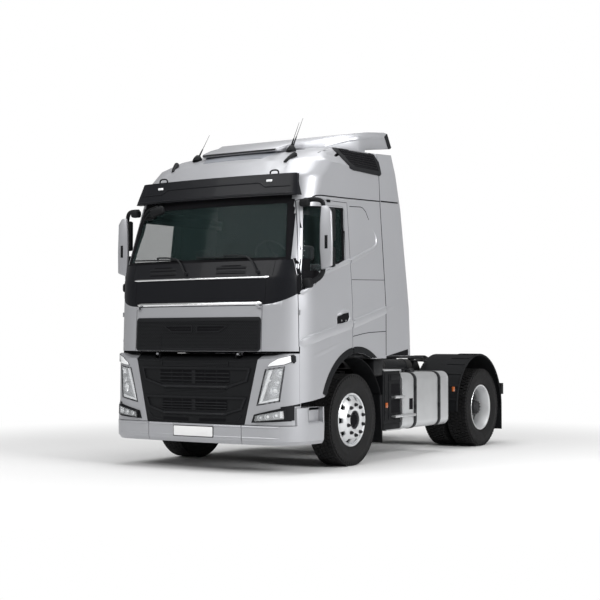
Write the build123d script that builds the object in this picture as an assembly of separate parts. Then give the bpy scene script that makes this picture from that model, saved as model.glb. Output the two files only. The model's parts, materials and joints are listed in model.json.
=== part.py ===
"""Tractor unit of an articulated lorry: forward control sleeper cab on a two axle ladder frame.

Millimetres, Z up, the front faces -Y and +X is the left side of the vehicle.
Everything is drawn with the front axle at Y = 0 and moved to the row's frame as it is written.
"""

import math
import os

from build123d import *

# overall sizes
WHEELBASE = 3300
FRONT_OVERHANG = 1365
REAR_OVERHANG = 800
FRAME_WIDTH = 850
RAIL_TOP = 960
RAIL_DEPTH = 266
RAIL_FLANGE = 90
RAIL_WALL = 10
RAIL_FRONT = -1000
GEARBOX_Z = 800

# wheels
AXLE_Z = 508
TYRE_R = 508
TYRE_W = 300
RIM_R = 286
RIM_W = 229
TRACK_FRONT = 2086
TRACK_REAR = 1830
TWIN_PITCH = 340
KINGPIN_X = 850
KINGPIN_R = 20
SPINDLE_R = 40
HUB_R = 140
CASING_R = 95
SPRING_X = 425
SPRING_WIDTH = 90
RUNNING_CLEARANCE = 0.3

# cab
CAB_BOTTOM = 730
GRILLE_LINE = 1262
FLOOR_Z = 1270
FLOOR_TOP = 1320
BAND_Z = 1748
BELT_Z = 2232
CAB_TOP = 2940
CAB_REAR = 650
WALL = 55
FIREWALL_Y = -1200
GAP = 6
ARCH_R = 735
SILL_IN = 1185
STEP_REAR = -715
STEP_FRONT = -1165
ROOF_RISE = 605

# cab tilt axis
PIVOT_Y = -1280
PIVOT_Z = 1240

# front hatch hinge
HATCH_AXIS_Y = -1322
HATCH_AXIS_Z = 1744

# doors
DOOR_FRONT = -1105
DOOR_REAR = -116
DOOR_HINGE = (1190, -1102)
DOOR_SILL = 735
DOOR_IN = 980

# fifth wheel
COUPLING_Z = 1180
COUPLING_Y = WHEELBASE - 300
KINGPIN_BORE = 52
PITCH_AXIS_Z = 1075
COUPLING_R = 460

# side equipment: inner face at the rail, ends, underside
TANK = {"outer": 1190, "front": 1140, "rear": 2360, "low": 335, "high": 1000, "corner": 90}
BATTERY = {"outer": 1170, "front": 705, "rear": 1110, "low": 420, "high": 1039}
EXHAUST = {"outer": 1180, "front": 700, "rear": 1500, "low": 380, "high": 980, "corner": 60}
LINER_R = 690
GUARD_R = 690
GUARD_WALL = 8

# front end
BUMPER_TOP = 500
BUMPER_BOTTOM = 300
BUMPER_SEAM = 617
STEP_TOP = 685
GRILLE_HALF = 794
LAMP = [(800, 715), (1045, 757), (1088, 1108), (899, 1080)]

SHIFT_Y = FRONT_OVERHANG - (FRONT_OVERHANG + WHEELBASE + REAR_OVERHANG) / 2
REAR_Y = WHEELBASE + REAR_OVERHANG

# plan sections of the cab: height, half width, front at centre, front at corner, corner radius
LOWER_SECTIONS = [
    (700, 1243, -1342, -1306, 390),
    (GRILLE_LINE, 1243, -1342, -1306, 420),
    (BAND_Z, 1243, -1322, -1285, 410),
    (2045, 1226, -1296, -1254, 350),
    (BELT_Z, 1214, -1238, -1180, 300),
    (CAB_TOP, 1166, -1020, -955, 290),
]
ROOF_SECTIONS = [
    (CAB_TOP, 1166, -1020, -955, 290),
    (CAB_TOP + 210, 1158, -965, -895, 320),
    (CAB_TOP + 400, 1148, -775, -715, 370),
    (CAB_TOP + 530, 1130, -500, -430, 420),
    (CAB_TOP + ROOF_RISE, 1118, -240, -160, 440),
]
FAIRING_SECTIONS = [
    (CAB_TOP, 1166, -1020, -955, 290),
    (CAB_TOP + 400, 1148, -775, -715, 370),
    (CAB_TOP + 635, 1118, -240, -160, 440),
]


def block(x0, x1, y0, y1, z0, z1):
    """A box between two corners."""
    return Pos((x0 + x1) / 2, (y0 + y1) / 2, (z0 + z1) / 2) * Box(x1 - x0, y1 - y0, z1 - z0)


def side_prism(points, x0, x1):
    """A polygon of (y, z) points drawn out along X."""
    face = make_face(Plane.YZ * Polyline(*points, close=True))
    return Pos(x0, 0, 0) * extrude(face, amount=x1 - x0, dir=(1, 0, 0))


def front_prism(points, y0, y1):
    """A polygon of (x, z) points drawn out along Y."""
    face = make_face(Plane.XZ * Polyline(*points, close=True))
    return Pos(0, y0, 0) * extrude(face, amount=y1 - y0, dir=(0, 1, 0))


def plan_prism(points, z0, z1):
    """A polygon of (x, y) points drawn out along Z."""
    face = make_face(Plane.XY * Polyline(*points, close=True))
    return Pos(0, 0, z0) * extrude(face, amount=z1 - z0, dir=(0, 0, 1))


def cross_tube(radius, x0, x1, y, z):
    """A cylinder along X."""
    return Pos((x0 + x1) / 2, y, z) * Rot(0, 90, 0) * Cylinder(radius, abs(x1 - x0))


def post(radius, x, y, z0, z1):
    """A cylinder along Z."""
    return Pos(x, y, (z0 + z1) / 2) * Cylinder(radius, z1 - z0)


def mirrored(shape):
    """The same piece on the other side of the vehicle."""
    return mirror(shape, Plane.YZ)


def section(row, inset, rear):
    """The left half of a plan section of the cab, drawn in by an inset."""
    z, half, centre, corner, radius = row
    half -= inset
    centre += inset
    corner += inset
    radius = max(radius - inset, 60)
    x = half - radius
    bow = (x * x + (corner - centre) ** 2) / (2 * (corner - centre))
    middle = (x / 2, centre + bow - math.sqrt(bow * bow - x * x / 4))
    lean = radius * math.sqrt(0.5)
    edges = [
        ThreePointArc((0, centre), middle, (x, corner)),
        ThreePointArc((x, corner), (x + lean, corner + radius - lean), (half, corner + radius)),
        Line((half, corner + radius), (half, rear)),
        Line((half, rear), (0, rear)),
        Line((0, rear), (0, centre)),
    ]
    return Pos(0, 0, z) * make_face(Wire(edges))


def hull(rows, inset, rear):
    """A ruled body through the plan sections, the same on both sides."""
    side = loft([section(row, inset, rear) for row in rows], ruled=True)
    return side + mirrored(side)


def between(rows, z):
    """The section at any height, by straight lines between the rows."""
    for low, high in zip(rows, rows[1:]):
        if low[0] <= z <= high[0]:
            t = (z - low[0]) / (high[0] - low[0])
            return tuple(a + (b - a) * t for a, b in zip(low, high))
    return rows[-1]


def tyre_solid(centre_x):
    """A tyre as a turned ring with rounded shoulders and a rib groove."""
    half = TYRE_W / 2
    outer = TYRE_R
    profile = [
        (RIM_R - 6, -half + 38),
        (RIM_R + 14, -half + 38),
        (RIM_R + 24, -half + 20),
        (outer - 120, -half),
        (outer - 60, -half + 4),
        (outer - 14, -half + 18),
        (outer, -half + 40),
        (outer, half - 40),
        (outer - 14, half - 18),
        (outer - 60, half - 4),
        (outer - 120, half),
        (RIM_R + 24, half - 20),
        (RIM_R + 14, half - 38),
        (RIM_R - 6, half - 38),
    ]
    face = make_face(Plane.XZ * Polyline(*profile, close=True))
    return Pos(centre_x, 0, AXLE_Z) * Rot(0, 90, 0) * revolve(face, Axis.Z)


def rim_solid(centre_x, seat_x, disc_x):
    """A steel disc wheel: rim well, dished disc with hand holes and hub bore."""
    half = RIM_W / 2
    ring = Cylinder(RIM_R - 6.5, 2 * half + 20) - Cylinder(RIM_R - 22, 2 * half + 21)
    flanges = Cylinder(RIM_R + 10, 12) - Cylinder(RIM_R - 22, 13)
    ring += Pos(0, 0, half + 4.5) * flanges
    ring += Pos(0, 0, -half - 4.5) * flanges
    dish = [
        (RIM_R - 20, seat_x - 12),
        (RIM_R - 20, seat_x + 12),
        (205, disc_x + 7),
        (0, disc_x + 7),
        (0, disc_x - 7),
        (198, disc_x - 7),
    ]
    disc = revolve(make_face(Plane.XZ * Polyline(*dish, close=True)), Axis.Z)
    holes = [Rot(0, 0, 36 * k) * Pos(228, 0, (seat_x + disc_x) / 2) * Cylinder(26, 160) for k in range(10)]
    wheel = ring + (disc - holes)
    return Pos(centre_x, 0, AXLE_Z) * Rot(0, 90, 0) * wheel


parts = {}

# ladder frame
rail_outer = FRAME_WIDTH / 2
rail_z = RAIL_TOP - RAIL_DEPTH
tail_front = REAR_Y - 60
flange_in = rail_outer - RAIL_FLANGE
inner = rail_outer - 9
web_low = rail_z + RAIL_WALL
web_high = RAIL_TOP - RAIL_WALL
rail = block(flange_in, rail_outer, RAIL_FRONT, tail_front, rail_z, RAIL_TOP)
rail -= block(flange_in - 1, inner, RAIL_FRONT - 1, tail_front + 1, web_low, web_high)
parts["frame_rail_left"] = rail
parts["frame_rail_right"] = mirrored(rail)

PIVOT_LUG_X = 510
PIVOT_EYE_X = 538
PIVOT_R = 12
BEAM_FRONT = RAIL_FRONT - 80
front_beam = block(-inner, inner, RAIL_FRONT, RAIL_FRONT + 80, web_low, web_high)
front_beam += block(-900, 900, BEAM_FRONT, RAIL_FRONT, rail_z - 240, rail_z + 40)
for side in (-1, 1):
    x = side * PIVOT_LUG_X
    front_beam += block(x - 10, x + 10, PIVOT_Y - 16, RAIL_FRONT, rail_z, PIVOT_Z + 16)
    front_beam += cross_tube(PIVOT_R, x, side * (PIVOT_EYE_X + 18), PIVOT_Y, PIVOT_Z)
parts["cross_member_front"] = front_beam

tail = block(-inner, inner, tail_front - 80, tail_front, web_low, web_high)
tail += block(-1180, 1180, tail_front, REAR_Y, rail_z - 40, rail_z + 110)
parts["tail_bar"] = tail

# driveline
engine = block(-330, 330, -860, 560, 620, 1180)
engine += block(-230, 230, -760, -100, 440, 620)
engine += Pos(0, 860, GEARBOX_Z) * Rot(90, 0, 0) * Cone(210, 150, 600)
for y in (-420, 380):
    engine += block(-flange_in, flange_in, y, y + 80, RAIL_TOP - RAIL_WALL, RAIL_TOP)
parts["engine_block"] = engine

EYE_LOW = 455
EYE_HIGH = 545
leaf_half = SPRING_WIDTH / 2
beam = block(-KINGPIN_X + 75, KINGPIN_X - 75, -50, 50, 400, 500)
for side in (-1, 1):
    kingpin = side * KINGPIN_X
    beam += post(45, kingpin, 0, EYE_LOW, EYE_HIGH)
    beam += block(*sorted((kingpin - side * 110, kingpin)), -38, 38, EYE_LOW, EYE_HIGH)
    leaf_in = side * SPRING_X - leaf_half
    leaf_out = side * SPRING_X + leaf_half
    beam += block(leaf_in, leaf_out, -700, 620, 500, EYE_HIGH)
    for y in (-700, 560):
        beam += block(leaf_in, leaf_out, y, y + 60, EYE_HIGH, rail_z)
for side in (-1, 1):
    beam -= post(KINGPIN_R + RUNNING_CLEARANCE, side * KINGPIN_X, 0, 380, 600)
parts["front_axle"] = beam

casing = cross_tube(CASING_R, -TRACK_REAR / 2 + 45, TRACK_REAR / 2 - 45, WHEELBASE, AXLE_Z)
casing += Pos(0, WHEELBASE, AXLE_Z) * Sphere(215)
casing += Pos(0, WHEELBASE - 250, AXLE_Z + 20) * Rot(90, 0, 0) * Cylinder(90, 240)
ARM_TOP = 640
for side in (-1, 1):
    x = side * SPRING_X
    arm_in = x - leaf_half
    arm_out = x + leaf_half
    casing += block(arm_in, arm_out, WHEELBASE - 700, WHEELBASE + 420, ARM_TOP - 50, ARM_TOP)
    casing += block(arm_in, arm_out, WHEELBASE - 60, WHEELBASE + 60, AXLE_Z + 12, ARM_TOP - 40)
    casing += post(110, x, WHEELBASE + 320, ARM_TOP, rail_z)
    casing += block(x - 40, x + 40, WHEELBASE - 700, WHEELBASE - 620, ARM_TOP, rail_z)
parts["rear_axle"] = casing

GEARBOX_REAR = 1160
shaft_end = WHEELBASE - 370
nose_z = AXLE_Z + 20
run = shaft_end - GEARBOX_REAR
tilt = math.degrees(math.atan2(GEARBOX_Z - nose_z, run))
middle = Pos(0, (GEARBOX_REAR + shaft_end) / 2, (GEARBOX_Z + nose_z) / 2)
shaft = middle * Rot(90 - tilt, 0, 0) * Cylinder(55, run + 200)
parts["prop_shaft"] = shaft & block(-100, 100, GEARBOX_REAR, shaft_end, 300, 1000)

# wheels, knuckles and steering
wheel_x = TRACK_FRONT / 2
front_rim = rim_solid(wheel_x, 60, 96)
hub = cross_tube(HUB_R, wheel_x - 60, wheel_x + 100, 0, AXLE_Z)
hub += cross_tube(112, wheel_x + 100, wheel_x + 108, 0, AXLE_Z)
front_rim += hub
front_rim -= cross_tube(SPINDLE_R + RUNNING_CLEARANCE, wheel_x - 61, wheel_x + 90, 0, AXLE_Z)
parts["front_rim_left"] = front_rim
parts["front_rim_right"] = mirrored(front_rim)
parts["front_tyre_left"] = tyre_solid(wheel_x)
parts["front_tyre_right"] = tyre_solid(-wheel_x)

knuckle = block(KINGPIN_X - 30, KINGPIN_X + 66, -56, 56, 400, 450)
knuckle += block(KINGPIN_X - 30, KINGPIN_X + 66, -56, 56, 550, 616)
knuckle += block(KINGPIN_X + 66, KINGPIN_X + 90, -70, 70, 400, 616)
knuckle += post(KINGPIN_R, KINGPIN_X, 0, 390, 626)
knuckle += cross_tube(SPINDLE_R, KINGPIN_X + 80, wheel_x + 60, 0, AXLE_Z)
ARM_REACH = 300
BALL_R = 12
arm = block(KINGPIN_X - 20, KINGPIN_X + 20, 56, ARM_REACH, 405, 435)
arm += post(26, KINGPIN_X, ARM_REACH, 405, 435)
arm -= post(BALL_R + 0.4, KINGPIN_X, ARM_REACH, 400, 440)
knuckle += arm
parts["knuckle_left"] = knuckle
parts["knuckle_right"] = mirrored(knuckle)

rod = cross_tube(18, -KINGPIN_X + 20, KINGPIN_X - 20, ARM_REACH, 380)
for side in (-1, 1):
    rod += post(24, side * KINGPIN_X, ARM_REACH, 360, 400)
    rod += post(BALL_R, side * KINGPIN_X, ARM_REACH, 399, 440)
parts["tie_rod"] = rod

twin_in = TRACK_REAR / 2 - TWIN_PITCH / 2
twin_out = TRACK_REAR / 2 + TWIN_PITCH / 2
outer_rim = rim_solid(twin_out, -70, -TWIN_PITCH / 2 + 7)
inner_rim = rim_solid(twin_in, 70, TWIN_PITCH / 2 - 7)
twin_x = TRACK_REAR / 2
rear_hub = cross_tube(HUB_R, twin_x - 90, twin_x + 160, 0, AXLE_Z)
rear_rims = outer_rim + inner_rim + rear_hub
rear_rims -= cross_tube(CASING_R + RUNNING_CLEARANCE, twin_x - 400, twin_x - 40, 0, AXLE_Z)
rear_rims = Pos(0, WHEELBASE, 0) * rear_rims
parts["rear_rims_left"] = rear_rims
parts["rear_rims_right"] = mirrored(rear_rims)
for name, side in (("left", 1), ("right", -1)):
    pair = tyre_solid(side * twin_out) + tyre_solid(side * twin_in)
    parts["rear_tyres_" + name] = Pos(0, WHEELBASE, 0) * pair

# front end
bumper_rows = [
    (BUMPER_BOTTOM, 1215, -1335, -1300, 320),
    (340, 1240, -1360, -1325, 330),
    (BUMPER_TOP, 1245, -1362, -1327, 335),
]
bumper_hollow = [(BUMPER_BOTTOM - 20, *bumper_rows[1][1:]), (BUMPER_TOP + 20, *bumper_rows[2][1:])]
bumper = hull(bumper_rows, 0, STEP_REAR) - hull(bumper_hollow, 50, STEP_REAR + 100)
seam = GAP / 2
centre = bumper & block(-BUMPER_SEAM + seam, BUMPER_SEAM - seam, -1500, -1100, 250, 520)
for side in (-1, 1):
    centre += block(side * 450 - 30, side * 450 + 30, -1320, BEAM_FRONT, 460, 490)
parts["bumper_centre"] = centre
step_rows = [(BUMPER_TOP, *bumper_rows[2][1:]), (STEP_TOP, 1240, -1350, -1320, 330)]
step_hollow = [(BUMPER_TOP - 10, *step_rows[0][1:]), (STEP_TOP + 15, *step_rows[1][1:])]
step = hull(step_rows, 0, STEP_REAR) - hull(step_hollow, 50, STEP_REAR + 100)
step &= block(1000, 1300, STEP_FRONT, STEP_REAR, BUMPER_TOP, STEP_TOP)
step += block(960, 1195, STEP_FRONT + 15, STEP_REAR, STEP_TOP - 30, STEP_TOP)
corner = bumper & block(BUMPER_SEAM + seam, 1300, -1500, STEP_REAR, 250, 520)
corner += step
corner += block(700, 760, -1310, BEAM_FRONT, 460, 490)
parts["bumper_left"] = corner
parts["bumper_right"] = mirrored(corner)

grille_rows = [
    (BUMPER_TOP, 1243, -1348, -1312, 350),
    (GRILLE_LINE - 16, 1243, -1348, -1312, 360),
]
front_solid = hull(grille_rows, 0, -600)
front_hollow = [(BUMPER_TOP - 10, *grille_rows[0][1:]), (GRILLE_LINE, *grille_rows[1][1:])]
front = front_solid - hull(front_hollow, 60, -590)
relief = side_prism([(-1400, 1140), (-1200, 1250), (-1200, 1262), (-1400, 1262)], -1300, 1300)
half_grille = [(BUMPER_SEAM + 27, 506), (GRILLE_HALF, 1155), (GRILLE_HALF + 28, GRILLE_LINE - 16)]
grille_outline = half_grille + [(-x, z) for x, z in reversed(half_grille)]
grille_shape = front_prism(grille_outline, -1400, -1205)
shelf_side = [(-1400, 1124), (-1400, 1140), (-1205, 1247), (-1205, 1231)]
shelf = front_solid & side_prism(shelf_side, -1300, 1300)
grille = (front & grille_shape) - relief
grille += shelf & grille_shape
for side in (-1, 1):
    grille += block(side * 300 - 30, side * 300 + 30, -1300, BEAM_FRONT, 600, 640)
    grille -= block(side * 535 - 50, side * 535 + 50, PIVOT_Y - 24, -1100, 500, GRILLE_LINE)
parts["lower_grille"] = grille
housing_outline = [(x + 4, z) for x, z in reversed(half_grille)] + [(1300, 506), (1300, GRILLE_LINE - 16)]
housing_shape = front_prism(housing_outline, -1400, -1115)
lamp_shape = front_prism(LAMP, -1400, -1000)
housing = (front & housing_shape) - relief
lens = hull([(600, *grille_rows[0][1:]), (1200, *grille_rows[1][1:])], 4, -600)
lens -= hull([(590, *grille_rows[0][1:]), (1210, *grille_rows[1][1:])], 60, -590)
lens &= lamp_shape
housing -= lamp_shape
housing += shelf & housing_shape
housing -= block(955, 1300, STEP_FRONT - GAP, -1100, 490, STEP_TOP + GAP)
housing += block(760, 790, -1285, BEAM_FRONT, 620, 660)
parts["lamp_housing_left"] = housing
parts["lamp_housing_right"] = mirrored(housing)
parts["headlamp_left"] = lens
parts["headlamp_right"] = mirrored(lens)

# side equipment
side_boxes = {"battery_box": (1, BATTERY), "fuel_tank": (1, TANK), "exhaust_box": (-1, EXHAUST)}
for name, (side, size) in side_boxes.items():
    ends = sorted((side * rail_outer, side * size["outer"]))
    box = block(*ends, size["front"], size["rear"], size["low"], size["high"])
    if "corner" in size:
        box = fillet(box.edges().filter_by(Axis.Y), size["corner"])
    parts[name] = box

ring = Cylinder(LINER_R + GUARD_WALL, 260) - Cylinder(LINER_R, 261)
liner = Pos(1040, 0, AXLE_Z) * Rot(0, 90, 0) * ring
liner &= block(900, 1180, -560, LINER_R, AXLE_Z + 250, 1300)
flap_rear = LINER_R + GUARD_WALL
flap = [(LINER_R - 2, 211), (flap_rear, 211), (flap_rear, 760), (LINER_R - 60, 760)]
liner += side_prism(flap, 905, 1165)
liner += block(rail_outer, 940, LINER_R - 50, flap_rear, 720, 760)
parts["front_fender_left"] = liner
parts["front_fender_right"] = mirrored(liner)

GUARD_IN = 560
GUARD_OUT = 1200
ring = Cylinder(GUARD_R + GUARD_WALL, 640) - Cylinder(GUARD_R, 641)
guard = Pos(880, WHEELBASE, AXLE_Z) * Rot(0, 90, 0) * ring
guard &= block(GUARD_IN, GUARD_OUT, WHEELBASE - 760, WHEELBASE + 760, 480, 1300)
flap_rear = WHEELBASE + GUARD_R + GUARD_WALL
guard += block(GUARD_IN, GUARD_OUT, flap_rear - 10, flap_rear, 183, 500)
for y in (-650, 600):
    guard += block(rail_outer, GUARD_IN + 60, WHEELBASE + y, WHEELBASE + y + 50, 800, 840)
parts["rear_mudguard_left"] = guard
parts["rear_mudguard_right"] = mirrored(guard)

deck = block(-420, 420, 1180, 1900, RAIL_TOP, RAIL_TOP + 12)
parts["deck_plate"] = deck

PITCH_R = 25.7
mount_top = RAIL_TOP + 16
mount = block(-430, 430, COUPLING_Y - 420, COUPLING_Y + 420, RAIL_TOP, mount_top)
cheek = [
    (COUPLING_Y - 150, mount_top), (COUPLING_Y + 150, mount_top),
    (COUPLING_Y + 50, PITCH_AXIS_Z + 30), (COUPLING_Y - 50, PITCH_AXIS_Z + 30),
]
for side in (-1, 1):
    x = side * 380
    mount += side_prism(cheek, x - 25, x + 25)
    mount -= cross_tube(PITCH_R + RUNNING_CLEARANCE, x - 26, x + 26, COUPLING_Y, PITCH_AXIS_Z)
parts["coupling_mount"] = mount

plate_low = COUPLING_Z - 28
plate = Pos(0, COUPLING_Y, COUPLING_Z - 14) * Cylinder(COUPLING_R, 28)
plate &= block(-COUPLING_R, COUPLING_R, COUPLING_Y - 330, COUPLING_Y + 400, 1100, 1200)
ramp_start = COUPLING_Y + 300
ramp_end = COUPLING_Y + 560
ramp = [(ramp_start, COUPLING_Z), (ramp_start, plate_low), (ramp_end, 1090), (ramp_end, 1112)]
plate += side_prism(ramp, -400, 400)
bore_r = KINGPIN_BORE / 2
mouth = COUPLING_Y + 600
throat = [(-bore_r, COUPLING_Y), (bore_r, COUPLING_Y), (250, mouth), (-250, mouth)]
plate -= plan_prism(throat, 1000, 1200)
plate += block(-80, 80, COUPLING_Y - 70, COUPLING_Y + 60, COUPLING_Z - 90, plate_low)
plate -= post(bore_r, 0, COUPLING_Y, 1000, 1200)
for side in (-1, 1):
    x = side * 330
    plate += block(x - 20, x + 20, COUPLING_Y - 60, COUPLING_Y + 60, 1040, plate_low)
    plate += cross_tube(PITCH_R, x, side * 404, COUPLING_Y, PITCH_AXIS_Z)
parts["fifth_wheel"] = plate

# cab
outer = hull(LOWER_SECTIONS, 0, CAB_REAR)
high = [between(LOWER_SECTIONS, z) for z in (FLOOR_TOP, BAND_Z, 2045, BELT_Z, CAB_TOP)]
room = hull(high, WALL, CAB_REAR - WALL) - block(-1300, 1300, -1500, FIREWALL_Y, 1200, BAND_Z + 30)
below = block(-SILL_IN, SILL_IN, -1500, CAB_REAR + 50, 600, FLOOR_Z)
arch = cross_tube(ARCH_R, -1400, 1400, 0, AXLE_Z)
cab = outer - room - below - arch
cab -= block(-1400, 1400, -1500, DOOR_FRONT - 1, 600, GRILLE_LINE)
cab -= block(-1400, 1400, 0, CAB_REAR + 50, 600, 1180)
for side in (-1, 1):
    cab -= block(side * 1250 - 150, side * 1250 + 150, DOOR_FRONT - 20, -660, 600, 800)

HATCH_HALF = 835
grille_opening = block(-740, 740, -1500, -1000, 1285, 1600)
hatch_shape = block(-HATCH_HALF, HATCH_HALF, -1500, -1200, GRILLE_LINE + 6, BAND_Z - 3)
hatch_gap = block(-HATCH_HALF - GAP, HATCH_HALF + GAP, -1500, -1240, GRILLE_LINE, BAND_Z + 3)
cab -= hatch_gap
skin = hull(LOWER_SECTIONS, 0, CAB_REAR) - hull(LOWER_SECTIONS, 36, CAB_REAR - 36)
hatch = (skin & hatch_shape) - grille_opening
upper_grille = skin & grille_opening & block(-740, 740, -1500, -1200, 1285, 1600)
for side in (-1, 1):
    buffer_x = side * 780
    lug_x = side * 800
    lug_y = HATCH_AXIS_Y
    lug_z = HATCH_AXIS_Z
    hatch += block(buffer_x - 20, buffer_x + 20, -1290, -1240.3, 1290, 1320)
    hatch += cross_tube(5, buffer_x, side * 820, lug_y, lug_z)
    hatch += block(lug_x - 20, lug_x + 20, lug_y, lug_y + 40, lug_z - 20, lug_z - 1)
parts["front_hatch"] = hatch
parts["upper_grille"] = upper_grille

door_face = [
    (DOOR_FRONT, DOOR_SILL),
    (DOOR_FRONT, 2060),
    (-938, CAB_TOP - 80),
    (-880, CAB_TOP - 60),
    (DOOR_REAR, CAB_TOP - 40),
    (DOOR_REAR, 1180),
    (-400, 900),
    (-715, DOOR_SILL + 50),
]
slab = block(-SILL_IN, SILL_IN, -1500, CAB_REAR + 50, 600, FLOOR_TOP)
door_shape = side_prism(door_face, DOOR_IN, 1400)
door_edge = offset(make_face(Plane.YZ * Polyline(*door_face, close=True)), GAP)
slab_kept = block(-SILL_IN + GAP, SILL_IN - GAP, -1500, CAB_REAR + 50, 600, FLOOR_TOP)
door_cut = Pos(DOOR_IN, 0, 0) * extrude(door_edge, amount=420, dir=(1, 0, 0)) - slab_kept
door_cut_right = Pos(-1400, 0, 0) * extrude(door_edge, amount=420, dir=(1, 0, 0)) - slab_kept
whole = outer - room - arch - slab
window_face = [
    (-1068, 1915),
    (-880, 1985),
    (-740, 2092),
    (-235, 2262),
    (-200, CAB_TOP - 102),
    (-905, CAB_TOP - 135),
    (-1068, 2090),
]
window = side_prism(window_face, DOOR_IN, 1400)
door = (whole & door_shape) - window
glass = (hull(LOWER_SECTIONS, 24, CAB_REAR) - hull(LOWER_SECTIONS, 30, CAB_REAR - 30)) & window
hinge_x = DOOR_HINGE[0]
for z in (950, 1650):
    door += post(7, *DOOR_HINGE, z, z + 50)
    door += block(hinge_x - 40, hinge_x, DOOR_FRONT + 1, DOOR_FRONT + 9, z, z + 50)
parts["door_left"] = door
parts["door_right"] = mirrored(door)
parts["door_glass_left"] = glass
parts["door_glass_right"] = mirrored(glass)
cab -= door_cut
cab -= door_cut_right

band_face = [
    (-1500, BAND_Z + 4),
    (-1290, BAND_Z + 4),
    (DOOR_FRONT - GAP, 1868),
    (DOOR_FRONT - GAP, BELT_Z),
    (-1500, BELT_Z),
]
band_cut = side_prism(band_face, -1400, 1400)
band_skin = hull(LOWER_SECTIONS, 0, CAB_REAR) - hull(LOWER_SECTIONS, 30, CAB_REAR - 30)
band = band_skin & band_cut
cab -= band
parts["cowl_band"] = band

screen_face = [(-1058, BELT_Z), (1058, BELT_Z), (960, CAB_TOP - 60), (-960, CAB_TOP - 60)]
screen_cut = front_prism(screen_face, -1500, -850)
cab -= screen_cut
screen = (hull(LOWER_SECTIONS, 4, CAB_REAR) - hull(LOWER_SECTIONS, 12, CAB_REAR - 30)) & screen_cut
parts["windscreen"] = screen
for side in (-1, 1):
    x = side * PIVOT_EYE_X
    cab += block(x - 14, x + 14, PIVOT_Y, FIREWALL_Y - 20, PIVOT_Z - 12, GRILLE_LINE + 22)
    cab += cross_tube(20, x - 14, x + 14, PIVOT_Y, PIVOT_Z)
    cab += block(x - 14, x + 14, FIREWALL_Y - 40, FIREWALL_Y, GRILLE_LINE, FLOOR_TOP)
    cab -= cross_tube(PIVOT_R + RUNNING_CLEARANCE, x - 15, x + 15, PIVOT_Y, PIVOT_Z)
parts["cab_shell"] = cab

roof = hull(ROOF_SECTIONS, 0, CAB_REAR)
roof_inner = [between(ROOF_SECTIONS, CAB_TOP + rise) for rise in (0, 210, 400, 530, 560)]
for index in (3, 4):
    z, half, *rest = roof_inner[index]
    roof_inner[index] = (z, half - 60, *rest)
roof -= hull(roof_inner, 40, CAB_REAR - 40)
shoulder_low = CAB_TOP + 389
shoulder_high = CAB_TOP + ROOF_RISE
clear_z = shoulder_high + 50
shoulder_ends = []
for y, top_x in ((-900, 790), (CAB_REAR, 1110)):
    slope = [
        (1144, shoulder_low), (top_x, shoulder_high), (top_x, clear_z),
        (1250, clear_z), (1250, shoulder_low),
    ]
    shoulder_ends.append(Pos(0, y, 0) * make_face(Plane.XZ * Polyline(*slope, close=True)))
shoulder = loft(shoulder_ends, ruled=True)
roof -= shoulder
roof -= mirrored(shoulder)
parts["roof"] = roof

visor_rows = [(CAB_TOP - 20, 1175, -1094, -1034, 200), (CAB_TOP + 220, 1155, -1010, -950, 220)]
visor = hull(visor_rows, 0, 0)
visor &= block(-1300, 1300, -1500, -860, CAB_TOP - 20, CAB_TOP + 260)
visor -= outer
visor -= hull(ROOF_SECTIONS, 0, CAB_REAR)
parts["visor"] = visor

deflector_plan = [
    (-500, -600), (500, -600), (620, -97), (960, 500), (990, 900), (985, 1400),
    (-985, 1400), (-990, 900), (-960, 500), (-620, -97),
]
deflector_side = [
    (-536, 540), (-520, 580), (-330, 645), (-97, 705), (300, 805), (700, 878),
    (1105, 926), (1150, 920), (1270, 750), (CAB_REAR, 660), (CAB_REAR, 540),
]
deflector = side_prism([(y, CAB_TOP + rise) for y, rise in deflector_side], -1050, 1050)
hollow = [(-300, 460), (-300, 620), (300, 765), (1400, 895), (1400, 460)]
hollow_plan = offset(make_face(Plane.XY * Polyline(*deflector_plan, close=True)), -35)
hollow_side = side_prism([(y, CAB_TOP + rise) for y, rise in hollow], -1100, 1100)
deflector -= hollow_side & Pos(0, 0, CAB_TOP + 460) * extrude(hollow_plan, amount=500, dir=(0, 0, 1))
deflector &= plan_prism(deflector_plan, CAB_TOP + 460, CAB_TOP + 960)
deflector -= hull(ROOF_SECTIONS, 0, CAB_REAR)
parts["roof_deflector"] = deflector

fairing_face = [(CAB_REAR, 1207), (1240, 1207), (1140, CAB_TOP), (CAB_REAR, CAB_TOP)]
fairing = hull(LOWER_SECTIONS, 0, 1400) - hull(LOWER_SECTIONS, 35, 1500)
fairing &= side_prism(fairing_face, 700, 1400)
fairing_top = [(CAB_REAR, CAB_TOP), (1140, CAB_TOP), (1000, CAB_TOP + 630), (CAB_REAR, CAB_TOP + ROOF_RISE)]
fairing_high = hull(FAIRING_SECTIONS, 0, 1400) - hull(FAIRING_SECTIONS, 35, 1500)
fairing += fairing_high & side_prism(fairing_top, 700, 1400)
parts["side_fairing_left"] = fairing
parts["side_fairing_right"] = mirrored(fairing)

# inside
for side, name in ((1, "left"), (-1, "right")):
    x = side * 680
    seat = block(x - 260, x + 260, -700, -180, FLOOR_TOP, 1750)
    seat += block(x - 250, x + 250, -300, -160, 1750, 2450)
    parts["seat_" + name] = seat
dash = block(-1030, 1030, -1180, -860, 1700, 2180)
dash &= hull(high, WALL, CAB_REAR)
dash += block(-60, 60, -1100, -860, FLOOR_TOP, 1700)
parts["dashboard"] = dash
bunk = block(-1100, 1100, -30, CAB_REAR - WALL, FLOOR_TOP, 1850)
parts["bunk"] = bunk

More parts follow.
